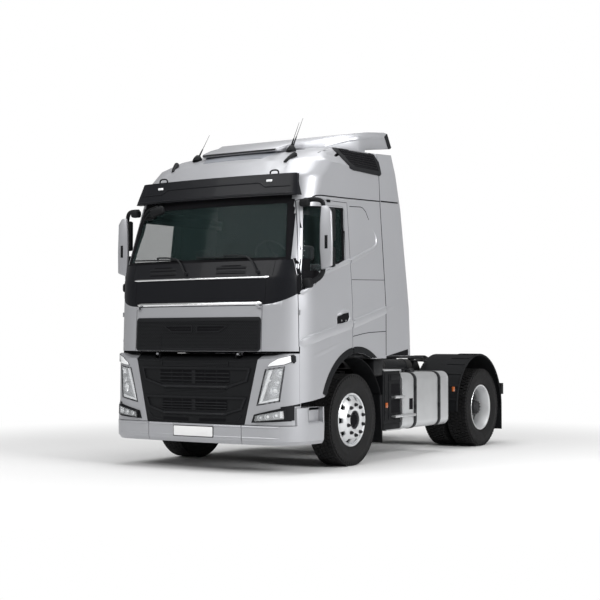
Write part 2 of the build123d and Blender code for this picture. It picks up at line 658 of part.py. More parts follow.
WHEEL_CENTRE = (600, -720, 2280)
steering = Torus(212, 15) + Cylinder(60, 40)
steering += block(-205, 205, -20, 20, -10, 10)
steering += block(-20, 20, -205, 0, -10, 10)
steering += Pos(0, 0, -130) * Cylinder(32, 260)
steering = Pos(*WHEEL_CENTRE) * Rot(-55, 0, 0) * steering
parts["steering_wheel"] = steering - dash

# mirrors
mirror_left = block(1275, 1455, -910, -800, 2118, 2807)
mirror_left = fillet(mirror_left.edges().filter_by(Axis.Z), 30)
POST_X = 1370
POST_Y = -858
for z, root in ((2040, -980), (2850, -905)):
    arm = [(1100, root), (1100, root + 36), (POST_X, POST_Y + 18), (POST_X, POST_Y - 18)]
    mirror_left += plan_prism(arm, z - 14, z + 14)
    mirror_left += post(16, POST_X, POST_Y, min(z - 14, 2200), max(z + 14, 2200))
mirror_left += block(1150, 1260, -1060, -930, 1925, 2040)
mirror_left -= hull(LOWER_SECTIONS, 0, CAB_REAR)
parts["mirror_left"] = mirror_left
parts["mirror_right"] = mirrored(mirror_left)

kerb_head = block(-700, -500, -1230, -1130, CAB_TOP - 195, CAB_TOP - 45)
kerb = fillet(kerb_head.edges().filter_by(Axis.X), 30)
for lift in (0, 60):
    root = Vector(-1030, -960, CAB_TOP - 270 + lift)
    head = Vector(-640, -1180, CAB_TOP - 130 + lift)
    middle = (root + head) / 2
    rod = Plane(origin=middle, z_dir=head - root) * Cylinder(12, (head - root).length)
    kerb += rod
parts["kerb_mirror"] = kerb - hull(LOWER_SECTIONS, 0, CAB_REAR)

os.makedirs("parts", exist_ok=True)
for name, shape in parts.items():
    solid = Pos(0, SHIFT_Y, 0) * shape
    export_step(solid, os.path.join("parts", name + ".step"))
    print(name, len(shape.solids()), round(shape.volume / 1e6, 2))
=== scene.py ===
import math

import bmesh
import bpy
from mathutils import Matrix, Vector
from mathutils.bvhtree import BVHTree
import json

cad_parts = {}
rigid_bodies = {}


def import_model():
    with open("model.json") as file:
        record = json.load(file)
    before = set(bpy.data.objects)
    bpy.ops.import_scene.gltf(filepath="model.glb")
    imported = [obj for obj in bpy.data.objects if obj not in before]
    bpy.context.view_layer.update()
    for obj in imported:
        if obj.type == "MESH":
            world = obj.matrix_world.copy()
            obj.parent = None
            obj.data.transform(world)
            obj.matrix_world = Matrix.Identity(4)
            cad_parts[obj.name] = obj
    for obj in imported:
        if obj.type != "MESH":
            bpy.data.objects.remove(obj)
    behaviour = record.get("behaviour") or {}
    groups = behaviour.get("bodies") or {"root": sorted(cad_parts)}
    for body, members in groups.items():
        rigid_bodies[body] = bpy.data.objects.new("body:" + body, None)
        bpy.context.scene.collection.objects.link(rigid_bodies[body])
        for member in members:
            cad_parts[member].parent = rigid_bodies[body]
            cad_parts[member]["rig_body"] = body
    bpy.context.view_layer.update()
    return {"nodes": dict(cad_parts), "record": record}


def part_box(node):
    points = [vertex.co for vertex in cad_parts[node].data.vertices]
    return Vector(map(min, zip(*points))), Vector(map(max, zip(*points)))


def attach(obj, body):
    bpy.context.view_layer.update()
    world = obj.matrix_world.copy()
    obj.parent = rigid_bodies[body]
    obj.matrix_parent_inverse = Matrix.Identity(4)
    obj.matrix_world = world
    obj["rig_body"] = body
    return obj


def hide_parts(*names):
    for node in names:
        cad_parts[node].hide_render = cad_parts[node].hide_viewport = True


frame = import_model()
nodes = frame["nodes"]

# the frame gives the places that everything else is measured from
frontRimLow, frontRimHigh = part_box("front_rim_left")
rearTyreLow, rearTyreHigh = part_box("rear_tyres_left")
axleY = (frontRimLow.y + frontRimHigh.y) / 2
rearAxleY = (rearTyreLow.y + rearTyreHigh.y) / 2
axleZ = (rearTyreLow.z + rearTyreHigh.z) / 2
sides = {"left": 1, "right": -1}


def at(x, y, z):  # y counts from the front axle
    return Vector((x, y + axleY, z))


class Wire:  # one shader socket, which takes sums and products as a number does
    def __init__(self, finish, socket):
        self.finish = finish
        self.socket = socket

    def maths(self, operation, first, second=0.0, third=0.0):
        return self.finish.node("Math", {"operation": operation}, {0: first, 1: second, 2: third})

    def __add__(self, other):
        return self.maths("ADD", self, other)

    def __sub__(self, other):
        return self.maths("SUBTRACT", self, other)

    def __mul__(self, other):
        return self.maths("MULTIPLY", self, other)

    def __truediv__(self, other):
        return self.maths("DIVIDE", self, other)

    def __rsub__(self, other):
        return self.maths("SUBTRACT", other, self)

    def __pow__(self, other):
        return self.maths("POWER", self, other)

    __radd__ = __add__
    __rmul__ = __mul__

    def above(self, edge, soft=0.01):
        return self.finish.node(
            "MapRange",
            {"interpolation_type": "SMOOTHSTEP"},
            {"Value": self, "From Min": edge - soft, "From Max": edge + soft},
        )

    def wrapped(self, period):
        return self.maths("PINGPONG", self, period)


class Finish:  # a material and the nodes that make it
    def __init__(self, name, roughness=0.5, metallic=0.0, **extras):
        self.material = bpy.data.materials.new(name)
        self.material.use_nodes = True
        self.tree = self.material.node_tree
        self.shader = self.tree.nodes["Principled BSDF"]
        self.set({"Roughness": roughness, "Metallic": metallic})
        self.set({key.replace("_", " ").title().replace("Ior", "IOR"): value for key, value in extras.items()})
        self.place = self.node("TexCoord", {}, {}, "Object")

    def node(self, kind, settings, sockets, out=0):
        made = self.tree.nodes.new("ShaderNode" + kind)
        for key, value in settings.items():
            if key == "stops":
                while len(made.color_ramp.elements) < len(value):
                    made.color_ramp.elements.new(0.5)
                for element, (position, color) in zip(made.color_ramp.elements, value):
                    element.position = position
                    element.color = color
            else:
                setattr(made, key, value)
        for key, value in sockets.items():
            self.feed(made.inputs[key], value)
        return Wire(self, made.outputs[out])

    def feed(self, socket, value):
        if isinstance(value, Wire):
            self.tree.links.new(value.socket, socket)
        else:
            socket.default_value = value

    def set(self, sockets):
        for key, value in sockets.items():
            self.feed(self.shader.inputs[key], value)

    def noise(self, scale, detail=3.0, stretch=(1, 1, 1)):
        spread = self.node("Mapping", {}, {"Vector": self.place, "Scale": stretch})
        return self.node("TexNoise", {}, {"Vector": spread, "Scale": scale, "Detail": detail}, "Fac")

    def axes(self):
        return [self.node("SeparateXYZ", {}, {"Vector": self.place}, axis) for axis in "XYZ"]

    def blend(self, mask, first, second):
        return self.node("Mix", {"data_type": "RGBA"}, {0: mask, 6: first, 7: second}, 2)

    def bump(self, height, distance, strength=1.0):
        normal = self.node("Bump", {}, {"Height": height, "Distance": distance, "Strength": strength}, "Normal")
        self.set({"Normal": normal})


def shade(color, factor):
    return (color[0] * factor, color[1] * factor, color[2] * factor, 1)


finishes = {
    "silver": (0.4, 0.405, 0.425, 1),
    "anthracite": (0.008, 0.0085, 0.0105, 1),
    "blackPlastic": (0.0075, 0.008, 0.009, 1),
    "chassis": (0.009, 0.0095, 0.0105, 1),
    "cast": (0.034, 0.034, 0.037, 1),
    "wheelAlloy": (0.72, 0.73, 0.74, 1),
    "tankAlloy": (0.62, 0.63, 0.64, 1),
    "rubber": (0.01, 0.01, 0.0105, 1),
    "glass": (0.02, 0.035, 0.034, 1),
    "trim": (0.045, 0.047, 0.05, 1),
    "cloth": (0.05, 0.052, 0.058, 1),
    "amber": (0.38, 0.085, 0.01, 1),
    "red": (0.55, 0.02, 0.02, 1),
    "plate": (0.84, 0.84, 0.84, 1),
}
dust = (0.17, 0.155, 0.135, 1)


def makeSilver():
    made = Finish("silverPaint", 0.4, 0.5, coat_weight=0.3, coat_roughness=0.12)
    flake = made.noise(1400, 1)
    cloud = made.noise(1.6, 2)
    base = finishes["silver"]
    made.set({"Base Color": made.blend(flake * 0.5 + cloud * 0.5, shade(base, 0.93), shade(base, 1.07))})
    made.set({"Roughness": 0.37 + flake * 0.1})
    made.bump(made.noise(260, 2), 0.00004)
    return made.material


def makeGloss(name, base, roughness):
    made = Finish(name, roughness, 0.0, coat_weight=0.04, coat_roughness=0.05, specular_ior_level=0.1)
    cloud = made.noise(3, 3)
    made.set({"Base Color": made.blend(cloud, shade(base, 0.85), shade(base, 1.2))})
    made.set({"Roughness": roughness - 0.04 + made.noise(40, 3) * 0.1})
    made.bump(made.noise(220, 2), 0.00004)
    return made.material


def makeMoulded(name, base, grain, roughness=0.55):
    made = Finish(name, roughness, specular_ior_level=0.13)
    pebbles = made.node("TexVoronoi", {"feature": "SMOOTH_F1"}, {"Vector": made.place, "Scale": grain}, "Distance")
    wear = made.noise(7, 4)
    made.set({"Base Color": made.blend(wear, shade(base, 0.8), shade(base, 1.35))})
    made.set({"Roughness": roughness - 0.08 + made.noise(30, 4) * 0.16})
    made.bump(pebbles, 0.0004, 0.6)
    return made.material


def makeChassis():
    made = Finish("chassisPaint", 0.5, specular_ior_level=0.2)
    grime = made.noise(6, 6).above(0.56, 0.1)
    base = finishes["chassis"]
    made.set({"Base Color": made.blend(grime * 0.06, base, dust)})
    made.set({"Roughness": 0.42 + grime * 0.4})
    made.bump(made.noise(180, 4), 0.0003)
    return made.material


def makeCast():
    made = Finish("castIron", 0.6, 0.3, specular_ior_level=0.25)
    grease = made.noise(9, 5).above(0.5, 0.14)
    base = finishes["cast"]
    made.set({"Base Color": made.blend(grease, shade(base, 0.7), shade(base, 1.05))})
    made.set({"Roughness": 0.48 + grease * 0.12})
    made.bump(made.noise(240, 5), 0.0006)
    return made.material


def makeAlloy(name, base, stretch, roughness, metallic=1.0):
    made = Finish(name, roughness, metallic)
    brushed = made.noise(120, 3, stretch)
    stain = made.noise(5, 4)
    made.set({"Base Color": made.blend(stain, shade(base, 0.88), shade(base, 1.06))})
    made.set({"Roughness": roughness - 0.06 + brushed * 0.12 + stain * 0.08})
    made.bump(brushed, 0.00008)
    return made.material


def makeRubber():
    made = Finish("tyreRubber", 0.75, specular_ior_level=0.18)
    film = made.noise(12, 5).above(0.58, 0.16)
    base = finishes["rubber"]
    made.set({"Base Color": made.blend(film * 0.03, base, dust)})
    made.set({"Roughness": 0.66 + film * 0.2})
    made.bump(made.noise(300, 4), 0.0004)
    return made.material


def makeGlass(name, base, alpha, roughness=0.03):
    made = Finish(name, roughness, specular_ior_level=0.06)
    streak = made.noise(4, 3, (1, 1, 0.3))
    made.set({"Base Color": made.blend(streak, shade(base, 0.9), shade(base, 1.1))})
    made.set({"Alpha": alpha - 0.02 + streak * 0.04, "Roughness": roughness + streak * 0.02})
    return made.material


def makeCloth():
    made = Finish("seatCloth", 0.9, sheen_weight=0.3)
    x, y, z = made.axes()
    thread = 0.0022
    warp = (x + y).wrapped(thread) / thread
    weft = z.wrapped(thread) / thread
    weave = warp * weft + (1 - warp) * (1 - weft)
    base = finishes["cloth"]
    made.set({"Base Color": made.blend(weave, shade(base, 0.7), shade(base, 1.5))})
    made.bump(weave, 0.0008)
    return made.material


def makeMesh():  # moulded honeycomb of the grilles; its open cells are painted near-black as the shade seen through them
    made = Finish("grilleMesh", 0.5, specular_ior_level=0.12)
    x, y, z = made.axes()
    flat = made.node("CombineXYZ", {}, {"X": x, "Y": z})
    bricks = made.node(
        "TexBrick",
        {"offset": 0.5},
        {"Vector": flat, "Scale": 1.0, "Mortar Size": 0.0045, "Mortar Smooth": 0.3, "Brick Width": 0.026,
            "Row Height": 0.015},
        "Fac",
    )
    base = finishes["blackPlastic"]
    made.set({"Base Color": made.blend(bricks, shade(base, 0.25), shade(base, 1.7))})
    made.set({"Roughness": 0.75 - bricks * 0.3})
    made.bump(bricks, 0.006)
    return made.material


def makeLamp(name, base):
    made = Finish(name, 0.12, 0.0, coat_weight=0.6, coat_roughness=0.03)
    x, y, z = made.axes()
    pitch = 0.006
    ribs = (x + y).wrapped(pitch) / pitch
    made.set({"Base Color": made.blend(ribs, shade(base, 0.75), shade(base, 1.1))})
    made.bump(ribs, 0.0006)
    return made.material


def makePlate():
    made = Finish("plateFace", 0.35)
    cloud = made.noise(30, 3)
    base = finishes["plate"]
    made.set({"Base Color": made.blend(cloud, shade(base, 0.96), base)})
    return made.material


silver = makeSilver()
anthracite = makeGloss("anthraciteGloss", finishes["anthracite"], 0.36)
blackPlastic = makeMoulded("blackPlastic", finishes["blackPlastic"], 900)
guardPlastic = makeMoulded("guardPlastic", finishes["blackPlastic"], 420, 0.7)
chassisPaint = makeChassis()
castIron = makeCast()
wheelAlloy = makeAlloy("wheelAlloy", finishes["wheelAlloy"], (1, 1, 1), 0.36, 0.6)
tankAlloy = makeAlloy("tankAlloy", finishes["tankAlloy"], (1, 0.05, 1), 0.3, 0.75)
chrome = makeAlloy("chrome", (0.86, 0.87, 0.88, 1), (1, 1, 1), 0.14)
rubber = makeRubber()
windowGlass = makeGlass("windowGlass", finishes["glass"], 0.36)
sideGlass = makeGlass("sideGlass", finishes["glass"], 0.2)
lensGlass = makeGlass("lensGlass", (0.8, 0.82, 0.84, 1), 0.16, 0.02)
mirrorGlass = makeAlloy("mirrorGlass", (0.7, 0.73, 0.75, 1), (1, 1, 1), 0.1)
trimPlastic = makeMoulded("trimPlastic", finishes["trim"], 700, 0.7)
seatCloth = makeCloth()
grilleMesh = makeMesh()
amberLens = makeLamp("amberLens", finishes["amber"])
redLens = makeLamp("redLens", finishes["red"])
plateFace = makePlate()
# near-black for dark seams and seals, and also painted shade: it fills openings, gaps and recesses and covers parts
# that sit in shade
voidBlack = makeMoulded("voidBlack", (0.004, 0.004, 0.005, 1), 300, 0.9)
print("finishes made")


def linked(name, data):
    made = bpy.data.objects.new(name, data)
    bpy.context.scene.collection.objects.link(made)
    return made


def meshFrom(bm, name):  # frees the bmesh
    mesh = bpy.data.meshes.new(name)
    bm.to_mesh(mesh)
    bm.free()
    return mesh


def pour(source, bm):  # adds one bmesh to another
    mesh = meshFrom(source, "poured")
    bm.from_mesh(mesh)
    bpy.data.meshes.remove(mesh)


def movedVerts(bm):  # extrudes every face and gives the new points
    pushed = bmesh.ops.extrude_face_region(bm, geom=bm.faces[:])["geom"]
    return [item for item in pushed if isinstance(item, bmesh.types.BMVert)]


def addBox(bm, low, high, bevel=0.0, segments=2, turn=None):
    size = [b - a for a, b in zip(low, high)]
    middle = Vector([(a + b) / 2 for a, b in zip(low, high)])
    matrix = Matrix.Translation(middle) @ (turn or Matrix()) @ Matrix.Diagonal((*size, 1))
    made = bmesh.ops.create_cube(bm, size=1, matrix=matrix)["verts"]
    if bevel:
        roundEdges(bm, {edge for vert in made for edge in vert.link_edges}, bevel, segments)


def addEach(add, shared, rows):  # the same addition for each row, whose last item may name further sizes
    for row in rows:
        named = row[-1] if isinstance(row[-1], dict) else {}
        add(*shared, *row[: len(row) - bool(named)], **named)


def roundEdges(bm, edges, width, segments=2):
    bmesh.ops.bevel(
        bm, geom=list(edges), offset=width, segments=segments, profile=0.5,
        affect="EDGES", material=-1, clamp_overlap=True,
    )


def addRod(bm, start, end, radius, segments=20, endRadius=None, bevel=0.0):
    run = Vector(end) - Vector(start)
    matrix = Matrix.Translation((Vector(start) + Vector(end)) / 2) @ run.to_track_quat("Z", "Y").to_matrix().to_4x4()
    made = bmesh.ops.create_cone(
        bm,
        cap_ends=True,
        segments=segments,
        radius1=radius,
        radius2=radius if endRadius is None else endRadius,
        depth=run.length,
        matrix=matrix,
    )["verts"]
    if bevel:
        edges = {edge for vert in made for edge in vert.link_edges}
        rims = {edge for edge in edges if any(len(face.verts) > 4 for face in edge.link_faces)}
        roundEdges(bm, rims, bevel)


def addPlate(bm, outline, depth, matrix=Matrix(), bevel=0.0, segments=2):
    face = bm.faces.new([bm.verts.new((u, v, 0)) for u, v in outline])
    pushed = bmesh.ops.extrude_face_region(bm, geom=[face])["geom"]
    moved = [item for item in pushed if isinstance(item, bmesh.types.BMVert)]
    bmesh.ops.translate(bm, verts=moved, vec=(0, 0, depth))
    verts = set(moved) | set(face.verts)
    faces = {item for vert in verts for item in vert.link_faces}
    bmesh.ops.recalc_face_normals(bm, faces=list(faces))
    bmesh.ops.transform(bm, matrix=matrix, verts=list(verts))
    if bevel:
        roundEdges(bm, {edge for vert in verts for edge in vert.link_edges}, bevel, segments)


def addTurned(bm, profile, matrix, steps=64, closed=False):  # profile of (radius, along) round the local Z axis
    verts = [bm.verts.new((radius, 0, along)) for radius, along in profile]
    pairs = list(zip(verts, verts[1:] + verts[:1])) if closed else list(zip(verts, verts[1:]))
    edges = [bm.edges.new(pair) for pair in pairs]
    bmesh.ops.spin(
        bm, geom=verts + edges, cent=(0, 0, 0), axis=(0, 0, 1), angle=2 * math.pi, steps=steps, use_merge=True
    )
    ring = {vert for edge in edges for vert in edge.verts}
    grown = set(ring)
    front = list(ring)
    while front:
        front = [near.other_vert(vert) for vert in front for near in vert.link_edges]
        front = [vert for vert in front if vert not in grown]
        grown.update(front)
    poles = [vert for vert in grown if math.hypot(vert.co.x, vert.co.y) < 1e-5]
    bmesh.ops.transform(bm, matrix=matrix, verts=list(grown))
    if poles:
        bmesh.ops.remove_doubles(bm, verts=poles, dist=1e-5)
        grown = {vert for vert in grown if vert.is_valid}
    faces = {face for vert in grown for face in vert.link_faces}
    bmesh.ops.recalc_face_normals(bm, faces=list(faces))


inward = {
    "left": Vector((-1, 0, 0)),
    "right": Vector((1, 0, 0)),
    "front": Vector((0, 1, 0)),
    "top": Vector((0, 0, -1)),
}


class Skin:  # the outer surface of some CAD nodes, for pieces that lie on it
    def __init__(self, *names):
        verts, faces = [], []
        for name in names:
            mesh = nodes[name].data
            start = len(verts)
            verts += [vert.co.copy() for vert in mesh.vertices]
            faces += [[start + index for index in face.vertices] for face in mesh.polygons]
        self.tree = BVHTree.FromPolygons(verts, faces)

    def point(self, side, a, b, lift=0.0):
        way = inward[side]
        start = {"front": (a, 0, b), "top": (a, b + axleY, 0)}.get(side, (0, a + axleY, b))
        origin = Vector(start) - way * (4 if side in sides else 6)
        found = self.tree.ray_cast(origin, way)[0]
        if found is None:
            found = self.tree.find_nearest(origin + way * 3)[0]
        return found - way * lift


def addPatch(bm, skin, side, outline, rise, sink=0.003, cell=0.06, bevel=0.0, segments=2):
    # a polygon laid on a skin and raised above it, cut into cells so that it follows the curve
    work = bmesh.new()
    work.faces.new([work.verts.new((a, b, 0)) for a, b in outline])
    for axis in (0, 1):
        low = min(point[axis] for point in outline)
        high = max(point[axis] for point in outline)
        count = int((high - low) / cell)
        for step in range(1, count + 1):
            place = [0, 0, 0]
            place[axis] = low + (high - low) * step / (count + 1)
            normal = [0, 0, 0]
            normal[axis] = 1
            everything = work.verts[:] + work.edges[:] + work.faces[:]
            bmesh.ops.bisect_plane(work, geom=everything, plane_co=place, plane_no=normal)
    for vert in work.verts:
        vert.co = skin.point(side, vert.co.x, vert.co.y, -sink)
    moved = movedVerts(work)
    bmesh.ops.translate(work, verts=moved, vec=inward[side] * -(rise + sink))
    bmesh.ops.recalc_face_normals(work, faces=work.faces[:])
    if bevel:
        crest = set(moved)
        edges = [
            edge
            for edge in work.edges
            if edge.verts[0] in crest and edge.verts[1] in crest and edge.calc_face_angle(0) > 0.7
        ]
        roundEdges(work, edges, bevel, segments)
    pour(work, bm)


def arcPoints(middle, radius, start, end, count):
    steps = [math.radians(start + (end - start) * step / count) for step in range(count + 1)]
    return [(middle[0] + radius * math.cos(angle), middle[1] + radius * math.sin(angle)) for angle in steps]


def roundedRect(a0, a1, b0, b1, radius, count=4):
    corners = [
        ((a1 - radius, b1 - radius), 0),
        ((a0 + radius, b1 - radius), 90),
        ((a0 + radius, b0 + radius), 180),
        ((a1 - radius, b0 + radius), 270),
    ]
    return [point for middle, start in corners for point in arcPoints(middle, radius, start, start + 90, count)]


def flip(outline, side):  # front layouts swap left and right with the sign of x
    return [(a * sides[side], b) for a, b in outline]


def finishPiece(name, bm, material, body, replaced=(), smooth=35):
    mesh = meshFrom(bm, name)
    piece = linked(name, mesh)
    for item in material if isinstance(material, (list, tuple)) else [material]:
        mesh.materials.append(item)
    mesh.polygons.foreach_set("use_smooth", [True] * len(mesh.polygons))
    mesh.set_sharp_from_angle(angle=math.radians(smooth))
    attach(piece, body)
    if replaced:
        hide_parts(*replaced)
    return piece


def bodyOf(node):
    return nodes[node]["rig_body"]


slotOf = {row["node"]: row["material_slot"] for row in frame["record"]["subparts"]}


def dress(node, material, smooth=14, soften=0.0, chooser=None, cutters=()):
    # a merged, smooth shaded copy of a CAD node, with a second finish where the chooser says
    bm = bmesh.new()
    bm.from_mesh(nodes[node].data)
    bmesh.ops.remove_doubles(bm, verts=bm.verts[:], dist=0.00002)
    bmesh.ops.dissolve_limit(bm, angle_limit=math.radians(0.5), verts=bm.verts[:], edges=bm.edges[:])
    for cutter in cutters:
        bm = carved(bm, cutter)
    if soften:
        edges = [edge for edge in bm.edges if edge.is_manifold and edge.calc_face_angle(0) > 0.6]
        roundEdges(bm, edges, soften, 2)
    bm.normal_update()
    if chooser:
        for face in bm.faces:
            face.material_index = chooser(face.calc_center_median(), face.normal)
    return finishPiece(node + "_skin", bm, material, bodyOf(node), [node], smooth)


tyre = {
    "radius": (rearTyreHigh.z - rearTyreLow.z) / 2,
    "width": 0.3,
    "treadDepth": 0.014,
    "ribs": ((-0.132, -0.084), (-0.076, -0.03), (-0.022, 0.022), (0.03, 0.076), (0.084, 0.132)),
    "blocksRound": 66,
}
rim = {"lip": 0.297, "seat": 0.272, "well": 0.253, "half": 0.125, "handHoles": 10, "nuts": 10, "nutCircle": 0.1675}
twinPitch = 0.34


def axleFrame(x, y, side):  # local Z points away from the vehicle
    return Matrix.Translation((x, y, axleZ)) @ Matrix.Rotation(math.radians(90 * side), 4, "Y")


def addTyre(bm, x, y, side, gap):
    half = tyre["width"] / 2
    outer = tyre["radius"]
    base = outer - tyre["treadDepth"]
    bead = rim["lip"] - 0.017
    profile = [
        (bead, -half + 0.036), (bead + 0.02, -half + 0.034), (bead + 0.032, -half + 0.02), (outer - 0.15,
            -half + 0.004),
        (outer - 0.12, -half), (outer - 0.1, -half), (outer - 0.094, -half + 0.003), (outer - 0.06, -half + 0.004),
        (outer - 0.03, -half + 0.01), (outer - 0.012, -half + 0.018), (base + 0.004, -half + 0.026), (base,
            -half + 0.036),
    ]
    profile += [(radius, -along) for radius, along in reversed(profile)]
    hub = axleFrame(x, y, side)
    addTurned(bm, profile, hub, 96, closed=True)
    count = tyre["blocksRound"]
    pitch = 2 * math.pi / count
    for low, high in tyre["ribs"]:
        shift = 0.5 if tyre["ribs"].index((low, high)) % 2 else 0.0
        length = outer * pitch - gap
        top = math.sqrt(outer**2 - (length / 2) ** 2)
        middle = (top + base - 0.004) / 2
        for step in range(count):
            turn = Matrix.Rotation((step + shift) * pitch, 4, "Z")
            size = Matrix.Diagonal((top - base + 0.004, length, high - low, 1))
            bmesh.ops.create_cube(bm, size=1, matrix=hub @ turn @ Matrix.Translation((middle, 0,
                (low + high) / 2)) @ size)
    lug = 0.018
    for edge in (-1, 1):
        for step in range(count):
            turn = Matrix.Rotation((step + 0.5) * pitch, 4, "Z")
            size = Matrix.Diagonal((0.034, outer * pitch - gap - 0.008, lug, 1))
            place = Matrix.Translation((outer - 0.034, 0, edge * (half - 0.0135)))
            bmesh.ops.create_cube(bm, size=1, matrix=hub @ turn @ place @ size)


def addRing(bm, hub):  # the rim between the two beads
    lip, seat, well, half = rim["lip"], rim["seat"], rim["well"], rim["half"]
    profile = [
        (lip, half - 0.006), (lip, half - 0.011), (seat + 0.011, half - 0.014), (seat + 0.009, 0.07), (well + 0.009,
            0.04),
        (well + 0.009, -0.06), (seat + 0.009, -0.08), (seat + 0.011, -half + 0.014), (lip, -half + 0.011), (lip,
            -half + 0.006),
        (lip - 0.006, -half), (seat + 0.002, -half + 0.006), (seat - 0.002, -0.084), (well, -0.058), (well, 0.034),
        (seat - 0.004, 0.066), (seat - 0.001, half - 0.022), (seat + 0.008, half - 0.004), (lip - 0.006, half),
    ]
    addTurned(bm, profile, hub, 96, closed=True)


def carved(bm, cutter):  # takes the cutter away from a bmesh
    solids = [linked("carving", meshFrom(source, "carving")) for source in (bm, cutter)]
    cut = solids[0].modifiers.new("cut", "BOOLEAN")
    cut.operation = "DIFFERENCE"
    cut.solver = "EXACT"
    cut.object = solids[1]
    bpy.context.view_layer.update()
    result = bmesh.new()
    result.from_object(solids[0], bpy.context.evaluated_depsgraph_get())
    for solid in solids:
        mesh = solid.data
        bpy.data.objects.remove(solid)
        bpy.data.meshes.remove(mesh)
    return result


def addDisc(bm, hub, profile, holeRadius, holeSize):
    disc = bmesh.new()
    addTurned(disc, profile, Matrix(), 80, closed=True)
    cutter = bmesh.new()
    count = rim["handHoles"]
    wide, deep = holeSize
    outline = [(-deep / 2, -wide * 0.36), (deep / 2, -wide / 2), (deep / 2, wide / 2), (-deep / 2, wide * 0.36)]
    for step in range(count):
        turn = Matrix.Rotation(2 * math.pi * (step + 0.5) / count, 4, "Z")
        addPlate(cutter, outline, 0.4, turn @ Matrix.Translation((holeRadius, 0, -0.2)))
    disc = carved(disc, cutter)
    bmesh.ops.transform(disc, matrix=hub, verts=disc.verts[:])
    pour(disc, bm)


def addNuts(bm, hub, along, height, radius=0.017):
    for step in range(rim["nuts"]):
        angle = 2 * math.pi * step / rim["nuts"]
        x, y = rim["nutCircle"] * math.cos(angle), rim["nutCircle"] * math.sin(angle)
        foot = hub @ Vector((x, y, along))
        head = hub @ Vector((x, y, along + height * 0.3))
        tip = hub @ Vector((x, y, along + height))
        addEach(addRod, (bm,), [
            (foot, head, radius * 1.25, 16),
            (head, tip, radius, 6),
            (tip, hub @ Vector((x, y, along + height + 0.008)), radius * 0.55, 10),
        ])


frontTyreLow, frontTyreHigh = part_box("front_tyre_left")
frontX = (frontTyreLow.x + frontTyreHigh.x) / 2
twinOuterX = rearTyreHigh.x - tyre["width"] / 2

frontDisc = [
    (0.27, 0.07), (0.266, 0.096), (0.256, 0.114), (0.236, 0.13), (0.21, 0.146), (0.2, 0.158), (0.19, 0.164), (0.118,
        0.166),
    (0.106, 0.162), (0.102, 0.155), (0.102, 0.11), (0.112, 0.11), (0.114, 0.15), (0.184, 0.15), (0.194,
        0.142), (0.204, 0.13),
    (0.228, 0.114), (0.248, 0.098), (0.256, 0.082), (0.258, 0.06),
]
rearDisc = [
    (0.268, -0.02), (0.262, -0.04), (0.244, -0.068), (0.222, -0.09), (0.2, -0.1), (0.19, -0.106), (0.146,
        -0.106), (0.142, -0.12),
    (0.19, -0.12), (0.21, -0.116), (0.234, -0.102), (0.252, -0.078), (0.258, -0.05), (0.256, -0.02),
]

